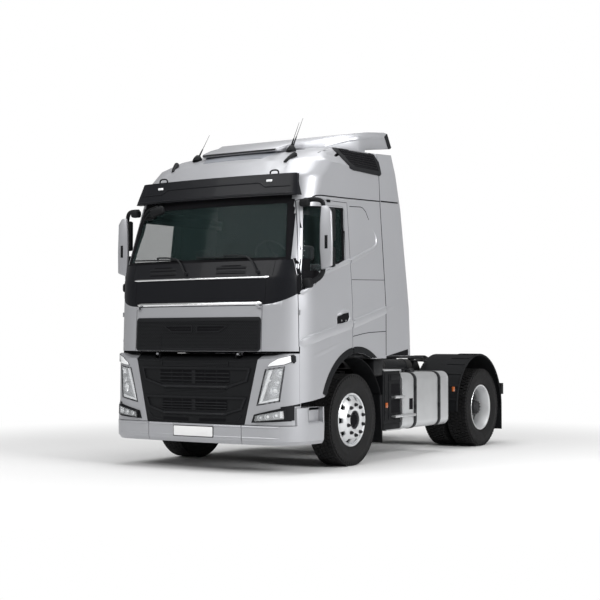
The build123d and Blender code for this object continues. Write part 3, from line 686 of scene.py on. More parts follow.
for sideName, side in sides.items():
    wheelBody = "wheel_front_" + sideName
    hub = axleFrame(side * frontX, axleY, side)
    bm = bmesh.new()
    addTyre(bm, side * frontX, axleY, side, 0.006)
    finishPiece("frontTyre_" + sideName, bm, rubber, wheelBody, ["front_tyre_" + sideName], 30)
    bm = bmesh.new()
    addRing(bm, hub)
    addDisc(bm, hub, frontDisc, 0.238, (0.066, 0.04))
    finishPiece("frontRim_" + sideName, bm, wheelAlloy, wheelBody, ["front_rim_" + sideName], 30)
    bm = bmesh.new()
    addNuts(bm, hub, 0.164, 0.026)
    hubProfile = [(0, 0.13), (0.06, 0.13), (0.07, 0.138), (0.082, 0.138), (0.088, 0.15), (0.1, 0.155), (0.1, -0.06),
        (0, -0.06)]
    addTurned(bm, hubProfile, hub, 48)
    for step in range(6):
        angle = math.radians(60 * step + 30)
        foot = hub @ Vector((0.071 * math.cos(angle), 0.071 * math.sin(angle), 0.136))
        addRod(bm, foot, foot + Vector((side * 0.012, 0, 0)), 0.008, 6)
    addTurned(bm, [(0.102, 0.044), (0.24, 0.03), (0.242, -0.06), (0.102, -0.06)], hub, 48, closed=True)
    finishPiece("frontHub_" + sideName, bm, castIron, wheelBody, smooth=30)
    # near-black ring behind the hand holes and disc on the hub end: dark iron plus painted shade inside the wheel
    bm = bmesh.new()
    addTurned(bm, [(0.2, 0.124), (0.222, 0.108), (0.242, 0.09), (0.25, 0.07), (0.25, 0.04), (0.2, 0.04)], hub, 48,
        closed=True)
    addTurned(bm, [(0, 0.1405), (0.08, 0.1405), (0.08, 0.136), (0, 0.136)], hub, 32)
    finishPiece("frontDrum_" + sideName, bm, voidBlack, wheelBody, smooth=30)

    twinBody = "wheels_rear_" + sideName
    outerHub = axleFrame(side * twinOuterX, rearAxleY, side)
    innerHub = axleFrame(side * (twinOuterX - twinPitch), rearAxleY, side)
    bm = bmesh.new()
    for x in (twinOuterX, twinOuterX - twinPitch):
        addTyre(bm, side * x, rearAxleY, side, 0.014)
    finishPiece("rearTyres_" + sideName, bm, rubber, twinBody, ["rear_tyres_" + sideName], 30)
    bm = bmesh.new()
    addRing(bm, outerHub)
    addRing(bm, innerHub)
    addDisc(bm, outerHub, rearDisc, 0.236, (0.07, 0.044))
    flipped = innerHub @ Matrix.Rotation(math.pi, 4, "X")
    addDisc(bm, flipped, rearDisc, 0.238, (0.062, 0.038))
    finishPiece("rearRims_" + sideName, bm, wheelAlloy, twinBody, ["rear_rims_" + sideName], 30)
    bm = bmesh.new()
    addNuts(bm, outerHub, -0.106, 0.03)
    capProfile = [
        (0, 0.08), (0.048, 0.08), (0.056, 0.072), (0.08, 0.07), (0.088, 0.062), (0.092, 0.01), (0.104, 0.0),
        (0.112, -0.05), (0.136, -0.054), (0.14, -0.062), (0.14, -0.24), (0, -0.24),
    ]
    addTurned(bm, capProfile, outerHub, 48)
    for step in range(10):
        angle = math.radians(36 * step + 18)
        foot = outerHub @ Vector((0.07 * math.cos(angle), 0.07 * math.sin(angle), 0.07))
        addRod(bm, foot, foot + Vector((side * 0.014, 0, 0)), 0.008, 6)
    addTurned(bm, [(0.1, -0.24), (0.23, -0.24), (0.23, -0.31), (0.1, -0.31)], outerHub, 48, closed=True)
    finishPiece("rearHub_" + sideName, bm, castIron, twinBody, smooth=30)
    # near-black ring behind the hand holes: dark iron plus painted shade inside the wheel
    bm = bmesh.new()
    addTurned(bm, [(0.2, -0.126), (0.228, -0.116), (0.246, -0.098), (0.246, -0.15), (0.2, -0.15)], outerHub, 48,
        closed=True)
    finishPiece("rearDrum_" + sideName, bm, voidBlack, twinBody, smooth=30)
print("wheels made")

cabTree = Skin(
    "cab_shell", "roof", "door_left", "door_right", "door_glass_left", "door_glass_right", "windscreen", "cowl_band",
    "front_hatch", "upper_grille",
).tree


def facesIn(middle, normal):
    # 0 outside, 1 for a face that looks into the cab or a gap, 2 for one low down, as in the wheel arch; gap faces,
    # silver on the real cab, take the dark trim as painted shade
    hidden = normal.z < -0.5 or cabTree.ray_cast(middle + normal * 0.004, normal)[0] is not None
    if not hidden:
        return 0
    return 2 if middle.z < 1.31 else 1


for name in ("cab_shell", "roof", "door_left", "door_right", "front_hatch"):
    dress(name, [silver, trimPlastic, guardPlastic], chooser=facesIn)
for name in ("side_fairing_left", "side_fairing_right"):
    dress(name, silver)
dress("roof_deflector", silver, 30, 0.05)
dress("cowl_band", anthracite)
dress("upper_grille", grilleMesh)
dress("windscreen", windowGlass)
for sideName in sides:
    dress("door_glass_" + sideName, sideGlass)
dress("bumper_centre", silver)


def visorEnds():  # the slanted ends of the sun visor, and the room behind them
    ends, backs = bmesh.new(), bmesh.new()
    for side in (-1, 1):
        outline = [(side * x, z) for x, z in ((1.1, 2.9), (1.3, 2.9), (1.3, 3.2), (1.026, 3.2))]
        addPlate(ends, outline, 0.5, Matrix.Translation(at(0, -0.75, 0)) @ Matrix.Rotation(math.radians(90), 4, "X"))
        low, high = sorted((side * 1.02, side * 1.2))
        addBox(backs, at(low, -0.925, 2.88), at(high, -0.8, 3.22))
    return ends, backs


def stepNiche(side):  # the foothold in the side of the bumper
    cutter = bmesh.new()
    low, high = sorted((side * 1.19, side * 1.3))
    addBox(cutter, at(low, -1.03, 0.516), at(high, -0.738, 0.72))
    return [cutter]


dress("visor", anthracite, cutters=visorEnds())
for sideName, side in sides.items():
    dress("bumper_" + sideName, silver, cutters=stepNiche(side))
    dress("lamp_housing_" + sideName, silver)
dress("lower_grille", blackPlastic)
for name in ("headlamp_left", "headlamp_right"):
    dress(name, lensGlass)
dress("fuel_tank", tankAlloy, 20, 0.004)
for name in ("battery_box", "exhaust_box"):
    dress(name, blackPlastic, 20, 0.006)
for sideName in sides:
    dress("front_fender_" + sideName, guardPlastic, 20)
    dress("rear_mudguard_" + sideName, guardPlastic, 20)
dress("dashboard", trimPlastic, 20, 0.02)


def paintNode(node, material):  # a CAD node that stays gets a finish
    mesh = nodes[node].data
    mesh.materials.clear()
    mesh.materials.append(material)


slotFinish = {"cast_metal": castIron, "trim": trimPlastic, "black_plastic": blackPlastic}
for name in nodes:
    if not nodes[name].hide_render:
        paintNode(name, slotFinish.get(slotOf[name], chassisPaint))
# the front cross member is painted near-black as painted shade, since it sits in the dark gap under the hatch
paintNode("cross_member_front", voidBlack)
print("panels dressed")


def addRibbon(bm, skin, side, path, width, rise, closed=False, sink=0.003, cell=0.06):
    # a flat strip of one width along a path on a skin
    points = [Vector(point) for point in path]
    count = len(points)
    lefts, rights = [], []
    for index, point in enumerate(points):
        before = points[index - 1] if closed or index else None
        after = points[(index + 1) % count] if closed or index < count - 1 else None
        first = (point - before).normalized() if before else (after - point).normalized()
        second = (after - point).normalized() if after else first
        across = Vector((-(first.y + second.y), first.x + second.x)).normalized()
        spread = width / 2 / max(across.dot(Vector((-first.y, first.x))), 0.5)
        lefts.append(point + across * spread)
        rights.append(point - across * spread)
    for index in range(count if closed else count - 1):
        ahead = (index + 1) % count
        addPatch(bm, skin, side, [lefts[index], lefts[ahead], rights[ahead], rights[index]], rise, sink, cell)


def alongPath(path, share):  # the spot and the sideways direction at a share of a path's length
    points = [Vector(point) for point in path]
    lengths = [(after - before).length for before, after in zip(points, points[1:])]
    wanted = share * sum(lengths)
    for before, after, length in zip(points, points[1:], lengths):
        if wanted <= length + 1e-9:
            run = (after - before).normalized()
            return before + run * wanted, Vector((-run.y, run.x))
        wanted -= length
    run = (points[-1] - points[-2]).normalized()
    return points[-1], Vector((-run.y, run.x))


def smoothPath(path, rounds):  # cuts the corners of a path
    points = [Vector(point) for point in path]
    for turn in range(rounds):
        softer = [points[0]]
        for before, after in zip(points, points[1:]):
            softer += [before.lerp(after, 0.25), before.lerp(after, 0.75)]
        points = softer + [points[-1]]
    return points


def addRidge(bm, skin, side, path, width, rise, fade=(0.0, 0.0), step=0.03, lean=0.5, fall=0.9):
    # a rounded rib on a skin; lean moves its crest from one edge, 0, to the other, 1
    work = bmesh.new()
    length = sum((Vector(after) - Vector(before)).length for before, after in zip(path, path[1:]))
    verts = bmesh.ops.create_grid(work, x_segments=max(int(length / step), 2), y_segments=8, size=0.5)["verts"]
    for vert in verts:
        u, v = vert.co.x + 0.5, vert.co.y + 0.5
        spot, across = alongPath(path, u)
        taper = 1.0
        if fade[0]:
            taper = min(taper, math.sin(min(u / fade[0], 1) * math.pi / 2))
        if fade[1]:
            taper = min(taper, math.sin(min((1 - u) / fade[1], 1) * math.pi / 2))
        share = v / (2 * lean) if v < lean else 1 - (1 - v) / (2 * (1 - lean))
        place = spot + across * (v - 0.5) * width * (0.35 + 0.65 * taper)
        height = rise * taper * max(math.sin(math.pi * share), 0) ** fall
        vert.co = skin.point(side, place.x, place.y, height + 0.0004)
    moved = movedVerts(work)
    bmesh.ops.translate(work, verts=moved, vec=inward[side] * (rise + 0.003))
    bmesh.ops.recalc_face_normals(work, faces=work.faces[:])
    pour(work, bm)


def addTube(bm, points, radius, segments=10, tipRadius=None, rounds=0):  # a round bar along points
    path = smoothPath(points, rounds)
    curve = bpy.data.curves.new("bar", "CURVE")
    curve.dimensions = "3D"
    curve.bevel_depth = radius
    curve.bevel_resolution = max(segments // 4, 1)
    curve.use_fill_caps = True
    spline = curve.splines.new("POLY")
    spline.points.add(len(path) - 1)
    for index, (spot, target) in enumerate(zip(path, spline.points)):
        target.co = (*spot, 1)
        if tipRadius is not None:
            target.radius = 1 + (tipRadius / radius - 1) * index / (len(path) - 1)
    holder = linked("bar", curve)
    bpy.context.view_layer.update()
    mesh = bpy.data.meshes.new_from_object(holder.evaluated_get(bpy.context.evaluated_depsgraph_get()))
    bm.from_mesh(mesh)
    bpy.data.objects.remove(holder)
    bpy.data.curves.remove(curve)
    bpy.data.meshes.remove(mesh)


frameBlack = makeGloss("frameBlack", (0.013, 0.0135, 0.015, 1), 0.4)
lampWhite = makeLamp("lampWhite", (0.93, 0.94, 0.95, 1))
cowlSkin = Skin("cowl_band")
hatchSkin = Skin("front_hatch", "upper_grille")
grilleSkin = Skin("lower_grille")
bumperSkin = Skin("bumper_centre", "bumper_left", "bumper_right")

cowl = {
    "stripZ": 2.046, "stripHalf": 0.9, "stripWidth": 0.024, "barZ": 1.773, "barHalf": 0.832, "barWidth": 0.036,
    "seamX": 0.868, "wiperShift": 0.92,
}
bm = bmesh.new()
addRidge(bm, cowlSkin, "front", [(-cowl["stripHalf"], cowl["stripZ"]), (cowl["stripHalf"], cowl["stripZ"])],
         cowl["stripWidth"], 0.009, (0.01, 0.01))
addRidge(bm, cowlSkin, "front", [(-cowl["barHalf"], cowl["barZ"]), (cowl["barHalf"], cowl["barZ"])],
         cowl["barWidth"], 0.012, (0.03, 0.03))
finishPiece("cowlStrips", bm, chrome, "cab")
bm = bmesh.new()
for x in (-cowl["seamX"], cowl["seamX"]):
    addRibbon(bm, cowlSkin, "front", [(x, 1.756), (x, cowl["stripZ"] - 0.014)], 0.005, 0.0006)
    addRibbon(bm, cowlSkin, "front", [(x * 1.08, cowl["stripZ"] + 0.014), (x * 1.08, 2.228)], 0.005, 0.0006)
addRibbon(bm, cowlSkin, "front", [(-0.9, 2.026), (0.9, 2.026)], 0.006, 0.0006)
addRibbon(bm, cowlSkin, "front", [(-0.84, 1.798), (0.84, 1.798)], 0.006, 0.0006)
# the slits between the wiper ledges are near-black lines, painted shade
for shift in (0, cowl["wiperShift"]):
    addEach(addRibbon, (bm, cowlSkin, "front"), [
        ([(-0.632 + shift, 2.173), (-0.387 + shift, 2.173)], 0.016, 0.0006),
        ([(-0.69 + shift, 2.143), (-0.32 + shift, 2.143)], 0.012, 0.0006),
        ([(-0.68 + shift, 2.092), (-0.31 + shift, 2.092)], 0.014, 0.0006),
    ])
finishPiece("cowlSlots", bm, voidBlack, "cab")
bm = bmesh.new()
for shift in (0, cowl["wiperShift"]):
    for x0, x1, z in ((-0.7, -0.31, 2.158), (-0.69, -0.3, 2.116)):
        addRidge(bm, cowlSkin, "front", [(x0 + shift, z), (x1 + shift, z)], 0.022, 0.006, (0.05, 0.05))
finishPiece("cowlLedges", bm, frameBlack, "cab")

screenSkin = Skin("windscreen", "cab_shell", "cowl_band")
wiper = {"pivot": (-0.16, 2.1), "elbow": (-0.275, 2.262), "bladeEnd": (-0.965, 2.276), "bladeStart": (-0.26, 2.258)}


def overScreen(shift, spot, lift):  # a spot on the glass, moved along by the shift
    return screenSkin.point("front", spot[0] + shift, spot[1], lift)


bm = bmesh.new()
for shift in (0, cowl["wiperShift"]):
    pivot = overScreen(shift, wiper["pivot"], 0.0)
    addRod(bm, pivot + Vector((0, 0.02, 0)), pivot + Vector((0, -0.03, 0)), 0.022, 16, 0.017)
    middle = (-0.6, 2.292)
    bends = ((wiper["elbow"], 0.045), ((-0.42, 2.286), 0.04), (middle, 0.034))
    arm = [overScreen(shift, spot, lift) for spot, lift in bends]
    addTube(bm, [pivot + Vector((0, -0.026, 0)), *arm], 0.0085, 8, None, 1)
    (a0, b0), (a1, b1) = wiper["bladeStart"], wiper["bladeEnd"]
    blade = [overScreen(shift, (a0 + (a1 - a0) * step / 8, b0 + (b1 - b0) * step / 8), 0.02) for step in range(9)]
    addTube(bm, blade, 0.007, 8)
    low = [spot + Vector((0, 0.012, -0.002)) for spot in blade]
    addTube(bm, low, 0.004, 6)
    addRod(bm, overScreen(shift, middle, 0.036), overScreen(shift, (middle[0], 2.268), 0.02), 0.01, 8)
finishPiece("wipers", bm, frameBlack, "cab")
bm = bmesh.new()
glassEdge = [(-1.052, 2.238), (1.052, 2.238), (0.957, 2.872), (-0.957, 2.872)]
addRibbon(bm, screenSkin, "front", glassEdge, 0.03, 0.002, True)
addPatch(bm, screenSkin, "front", [(-0.99, 2.835), (0.99, 2.835), (0.985, 2.925), (-0.985, 2.925)], 0.004, cell=0.025)
for side in (-1, 1):
    pillar = [(side * 1.045, 2.226), (side * 1.09, 2.226), (side * 1.04, 2.88), (side * 0.95, 2.88)]
    addPatch(bm, screenSkin, "front", pillar, 0.005, cell=0.02)
finishPiece("screenSeal", bm, voidBlack, "cab")

frontSkin = Skin("cab_shell", "front_hatch")
# a near-black block across the gap under the front hatch: the seal, and painted shade in the gap
bm = bmesh.new()
spots = [frontSkin.point("front", -1.16 + step * 0.0725, 1.29, -0.03) for step in range(33)]
rows = []
for z in (1.249, 1.3):
    rows.append([bm.verts.new((spot.x, spot.y, z)) for spot in spots])
    rows.append([bm.verts.new((spot.x, spot.y + 0.12, z)) for spot in spots])
ring = [rows[0], rows[1], rows[3], rows[2]]
for first, second in zip(ring, ring[1:] + ring[:1]):
    for index in range(len(spots) - 1):
        bm.faces.new((first[index], first[index + 1], second[index + 1], second[index]))
for end in (0, -1):
    bm.faces.new([row[end] for row in ring])
bmesh.ops.recalc_face_normals(bm, faces=bm.faces[:])
finishPiece("frontSeal", bm, voidBlack, "cab")

grillePanel = {"half": 0.829, "low": 1.271, "high": 1.63, "corner": 0.035}
bm = bmesh.new()
outline = roundedRect(-grillePanel["half"], grillePanel["half"], grillePanel["low"], grillePanel["high"],
    grillePanel["corner"])
addPatch(bm, hatchSkin, "front", outline, 0.006, bevel=0.002)
finishPiece("upperPanel", bm, frameBlack, "front_hatch")
bm = bmesh.new()
addPatch(bm, hatchSkin, "front", roundedRect(-0.806, 0.806, 1.29, 1.586, 0.012), 0.0075)
finishPiece("upperMesh", bm, grilleMesh, "front_hatch")
bm = bmesh.new()
corners = ((0.034, 1.54), (0.418, 1.536), (0.32, 1.478), (0.034, 1.475))
slots = [[(side * x, z) for x, z in corners] for side in (-1, 1)]
# the two slots are near-black patches, painted shade inside the openings
for slot in slots:
    addPatch(bm, hatchSkin, "front", slot, 0.0085)
finishPiece("upperSlots", bm, voidBlack, "front_hatch")
bm = bmesh.new()
for slot in slots:
    addRibbon(bm, hatchSkin, "front", slot, 0.014, 0.015, True)
    addRibbon(bm, hatchSkin, "front", [(slot[0][0] * 1.6, 1.508), (slot[1][0] * 0.86, 1.506)], 0.006, 0.011)
addEach(addRibbon, (bm, hatchSkin, "front"), [
    ([(-0.808, 1.59), (0.808, 1.59)], 0.01, 0.011),
    ([(-0.44, 1.452), (0.44, 1.452)], 0.008, 0.01),
    ([(-0.46, 1.296), (0.46, 1.296)], 0.012, 0.011),
])
for x in (-0.46, 0.46):
    addRibbon(bm, hatchSkin, "front", [(x, 1.3), (x, 1.452)], 0.005, 0.01)
finishPiece("upperFrames", bm, frameBlack, "front_hatch")

frames = {
    "upper": {
        "loop": [(-0.708, 1.088), (0.708, 1.088), (0.672, 0.965), (0.436, 0.897), (-0.436, 0.897), (-0.672, 0.965)],
        "void": (-0.462, 0.462, 0.925, 1.068), "slats": (1.036, 0.997, 0.957), "bar": 0.893,
    },
    "lower": {
        "loop": [(-0.657, 0.78), (0.657, 0.78), (0.61, 0.67), (0.41, 0.612), (-0.41, 0.612), (-0.61, 0.67)],
        "void": (-0.43, 0.43, 0.64, 0.757), "slats": (0.727, 0.697, 0.667), "bar": 0.609,
    },
}
barsAndShadow, voidShades, mesh = bmesh.new(), bmesh.new(), bmesh.new()
for frameRow in frames.values():
    loop = frameRow["loop"]
    addRibbon(barsAndShadow, grilleSkin, "front", loop, 0.02, 0.014, True)
    addRibbon(barsAndShadow, grilleSkin, "front", [(a * 0.975, b + (0.012 if b > frameRow["bar"] + 0.05 else 0.03)) for a,
        b in loop], 0.006, 0.004, True)
    half = loop[3][0]
    addRidge(barsAndShadow, grilleSkin, "front", [(-half - 0.02, frameRow["bar"]), (half + 0.02, frameRow["bar"])], 0.042,
        0.026, (0.03, 0.03))
    x0, x1, z0, z1 = frameRow["void"]
    # the room behind the slats is a near-black patch, painted shade
    addPatch(voidShades, grilleSkin, "front", [(x0, z0), (x1, z0), (x1, z1), (x0, z1)], 0.001)
    for z in frameRow["slats"]:
        addRidge(barsAndShadow, grilleSkin, "front", [(x0, z), (x1, z)], 0.017, 0.012)
    addRibbon(barsAndShadow, grilleSkin, "front", [(0, z0), (0, z1)], 0.05, 0.006)
    for x in (-0.3, -0.15, 0.15, 0.3):
        addRibbon(barsAndShadow, grilleSkin, "front", [(x, z0), (x, z1)], 0.008, 0.004)
addPatch(mesh, grilleSkin, "front", [(-0.43, 1.112), (0.43, 1.112), (0.438, 1.215), (-0.438, 1.215)], 0.003)
addPatch(mesh, grilleSkin, "front", [(-0.4, 0.822), (0.4, 0.822), (0.41, 0.872), (-0.41, 0.872)], 0.003)
addRibbon(barsAndShadow, grilleSkin, "front", [(-0.43, 1.112), (0.43, 1.112)], 0.01, 0.008)
for side in (-1, 1):
    addRibbon(barsAndShadow, grilleSkin, "front", [(side * 0.44, 1.112), (side * 0.446, 1.212)], 0.01, 0.008)
    # the grille openings are near-black patches, painted shade
    addPatch(voidShades, grilleSkin, "front", [(side * x, z) for x,
        z in ((0.5, 1.2), (0.64, 1.203), (0.64, 1.216), (0.5, 1.216))], 0.001)
    addPatch(voidShades, grilleSkin, "front", [(side * 0.07, 0.524), (side * 0.41, 0.53), (side * 0.42, 0.563),
        (side * 0.07, 0.56)], 0.001)
    addRibbon(barsAndShadow, grilleSkin, "front", [(side * 0.61, 0.6), (side * 0.56, 0.548), (side * 0.42, 0.53)], 0.008, 0.006)
    # a black line under the step of the grille, a painted shadow
    addRibbon(barsAndShadow, grilleSkin, "front", [(side * 0.798, 1.172), (side * 0.46, 1.163)], 0.01, 0.005)
finishPiece("grilleBars", barsAndShadow, frameBlack, "chassis")
finishPiece("grilleVoids", voidShades, voidBlack, "chassis")
finishPiece("grilleMeshPanels", mesh, grilleMesh, "chassis")
print("front grilles made")

lampOutline = [(0.8, 0.715), (1.045, 0.757), (1.088, 1.108), (0.899, 1.08)]
reflector = makeAlloy("reflector", (0.3, 0.305, 0.31, 1), (1, 1, 1), 0.45)


def addLens(bowl, dome, skin, x, z, radius, side, depth=0.03):
    spot = skin.point("front", x * side, z, -depth)
    hub = Matrix.Translation(spot) @ Vector((0.35 * side, -1, 0)).to_track_quat("Z", "Y").to_matrix().to_4x4()
    addTurned(bowl, [(0, -0.02), (radius * 0.5, -0.018), (radius * 0.86, -0.004), (radius, 0.012),
        (radius * 1.08, 0.012),
                     (radius * 1.1, 0.004), (radius * 0.9, -0.03), (0, -0.034)], hub, 28)
    addTurned(dome, [(0, 0.012), (radius * 0.3, 0.01), (radius * 0.5, 0.002), (radius * 0.56, -0.012), (0, -0.012)],
        hub, 24)


for sideName, side in sides.items():
    lampSkin = Skin("headlamp_" + sideName, "lamp_housing_" + sideName)
    trays, bowls, domes, covers, whites, rims = [bmesh.new() for _ in range(6)]
    addPatch(trays, lampSkin, "front", flip(lampOutline, sideName), -0.046, 0.056)
    addPatch(covers, lampSkin, "front", flip(lampOutline, sideName), 0.0, 0.004)
    glow = flip([(0.952, 1.086), (0.826, 0.728), (1.046, 0.778)], sideName)
    addRibbon(whites, lampSkin, "front", glow, 0.03, -0.008, sink=0.02)
    for x, z, radius in ((1.04, 1.045, 0.045), (1.012, 0.948, 0.03), (0.985, 0.862, 0.046), (0.93, 0.968, 0.024)):
        addLens(bowls, domes, lampSkin, x, z, radius, side)
    addRibbon(rims, lampSkin, "front", flip(lampOutline, sideName), 0.015, 0.002, True)
    blade = flip([(0.93, 1.112), (0.95, 1.146), (1.036, 1.196), (1.144, 1.226), (1.15, 1.163), (1.087, 1.134)],
        sideName)
    addPatch(whites, lampSkin, "front", blade, 0.014, bevel=0.004)
    addRibbon(rims, lampSkin, "front", blade, 0.01, 0.003, True)
    addPatch(rims, lampSkin, "front", flip([(1.15, 1.162), (1.146, 1.228), (1.16, 1.238), (1.176, 1.22),
        (1.178, 1.165), (1.166, 1.146)], sideName),
             0.018, bevel=0.004)
    band = flip([(0.73, 0.529), (0.76, 0.615), (1.15, 0.706), (1.15, 0.552)], sideName)
    addPatch(rims, lampSkin, "front", band, 0.002, cell=0.025)
    addPatch(rims, lampSkin, sideName, [(-1.27, 0.555), (-1.084, 0.566), (-1.084, 0.74), (-1.27, 0.7)], 0.002,
        cell=0.02)
    addRibbon(rims, lampSkin, sideName, [(-1.121, 0.74), (-1.121, 1.236)], 0.012, 0.001)
    fog = flip([(0.778, 0.542), (0.787, 0.607), (1.1, 0.668), (1.107, 0.573)], sideName)
    addPatch(trays, lampSkin, "front", fog, 0.004)
    for x, z, radius in ((0.845, 0.583, 0.026), (0.93, 0.597, 0.03), (1.02, 0.61, 0.03)):
        addLens(bowls, domes, lampSkin, x, z, radius, side, -0.008)
    addPatch(whites, lampSkin, "front", flip([(1.06, 0.585), (1.058, 0.65), (1.094, 0.657), (1.098, 0.586)],
        sideName), 0.012)
    addPatch(covers, lampSkin, "front", fog, 0.03, -0.026)
    addRibbon(rims, lampSkin, "front", fog, 0.008, 0.032, True, 0.0)
    finishPiece("lampTray_" + sideName, trays, reflector, "chassis", ["headlamp_" + sideName])
    finishPiece("lampBowls_" + sideName, bowls, chrome, "chassis")
    finishPiece("lampDomes_" + sideName, domes, lampWhite, "chassis")
    finishPiece("lampCovers_" + sideName, covers, lensGlass, "chassis")
    finishPiece("lampLights_" + sideName, whites, lampWhite, "chassis")
    finishPiece("lampRims_" + sideName, rims, frameBlack, "chassis")
print("lamps made")

plate = {"half": 0.258, "low": 0.368, "high": 0.471}
bm = bmesh.new()
addPatch(bm, bumperSkin, "front", roundedRect(-plate["half"] - 0.008, plate["half"] + 0.008, plate["low"] - 0.008,
    plate["high"] + 0.008, 0.006), 0.004)
finishPiece("plateFrame", bm, frameBlack, "chassis")
bm = bmesh.new()
addPatch(bm, bumperSkin, "front", roundedRect(-plate["half"], plate["half"], plate["low"], plate["high"], 0.008),
    0.007, bevel=0.001)
finishPiece("plateBlank", bm, plateFace, "chassis")
bm = bmesh.new()
for low, high in ((-1.05, -0.623), (-0.611, -0.27), (0.27, 0.611), (0.623, 1.05)):
    addRidge(bm, bumperSkin, "front", [(low, 0.372), (high, 0.372)], 0.016, 0.003)
    addRidge(bm, bumperSkin, "front", [(low, 0.486), (high, 0.486)], 0.022, 0.006)
finishPiece("bumperLines", bm, silver, "chassis")

sideLines = {
    "drip": [(-0.797, 2.903), (-0.74, 2.926), (-0.66, 2.936), (-0.147, 2.954), (0.64, 2.989)],
    "beltDoor": [(-1.1, 1.868), (-0.945, 1.94), (-0.87, 2.03), (-0.7, 2.1), (-0.122, 2.262)],
    "beltCab": [(-0.105, 2.258), (0.42, 2.424), (0.49, 2.462), (0.515, 2.52), (0.5, 2.59), (0.44, 2.66)],
    "recessTop": [(0.36, 2.75), (0.298, 2.84), (0.24, 2.876), (0.19, 2.884), (-0.06, 2.868)],
    "creaseDoor": [(-1.1, 1.346), (-0.98, 1.391), (-0.724, 1.446), (-0.44, 1.5), (-0.122, 1.562)],
    "creaseCab": [(-0.106, 1.565), (0.25, 1.645), (0.636, 1.736)],
    "creaseFairing": [(0.66, 1.742), (0.86, 1.79)],
    "foldDoor": [(-0.99, 1.2), (-0.63, 1.285), (-0.3, 1.37)],
    "windowEdge": [
        (-1.07, 1.912), (-0.88, 1.983), (-0.74, 2.09), (-0.232, 2.258), (-0.198, 2.8), (-0.225, 2.838), (-0.86, 2.812),
        (-0.92, 2.79), (-1.07, 2.1),
    ],
    "handle": [(-0.455, 1.62), (-0.425, 1.658), (-0.205, 1.69), (-0.19, 1.64), (-0.235, 1.578), (-0.445, 1.562)],
}
arch = {"radius": 0.768, "width": 0.084, "start": 157, "door": 99.2, "cab": 97.9, "end": 57, "rise": 0.014}

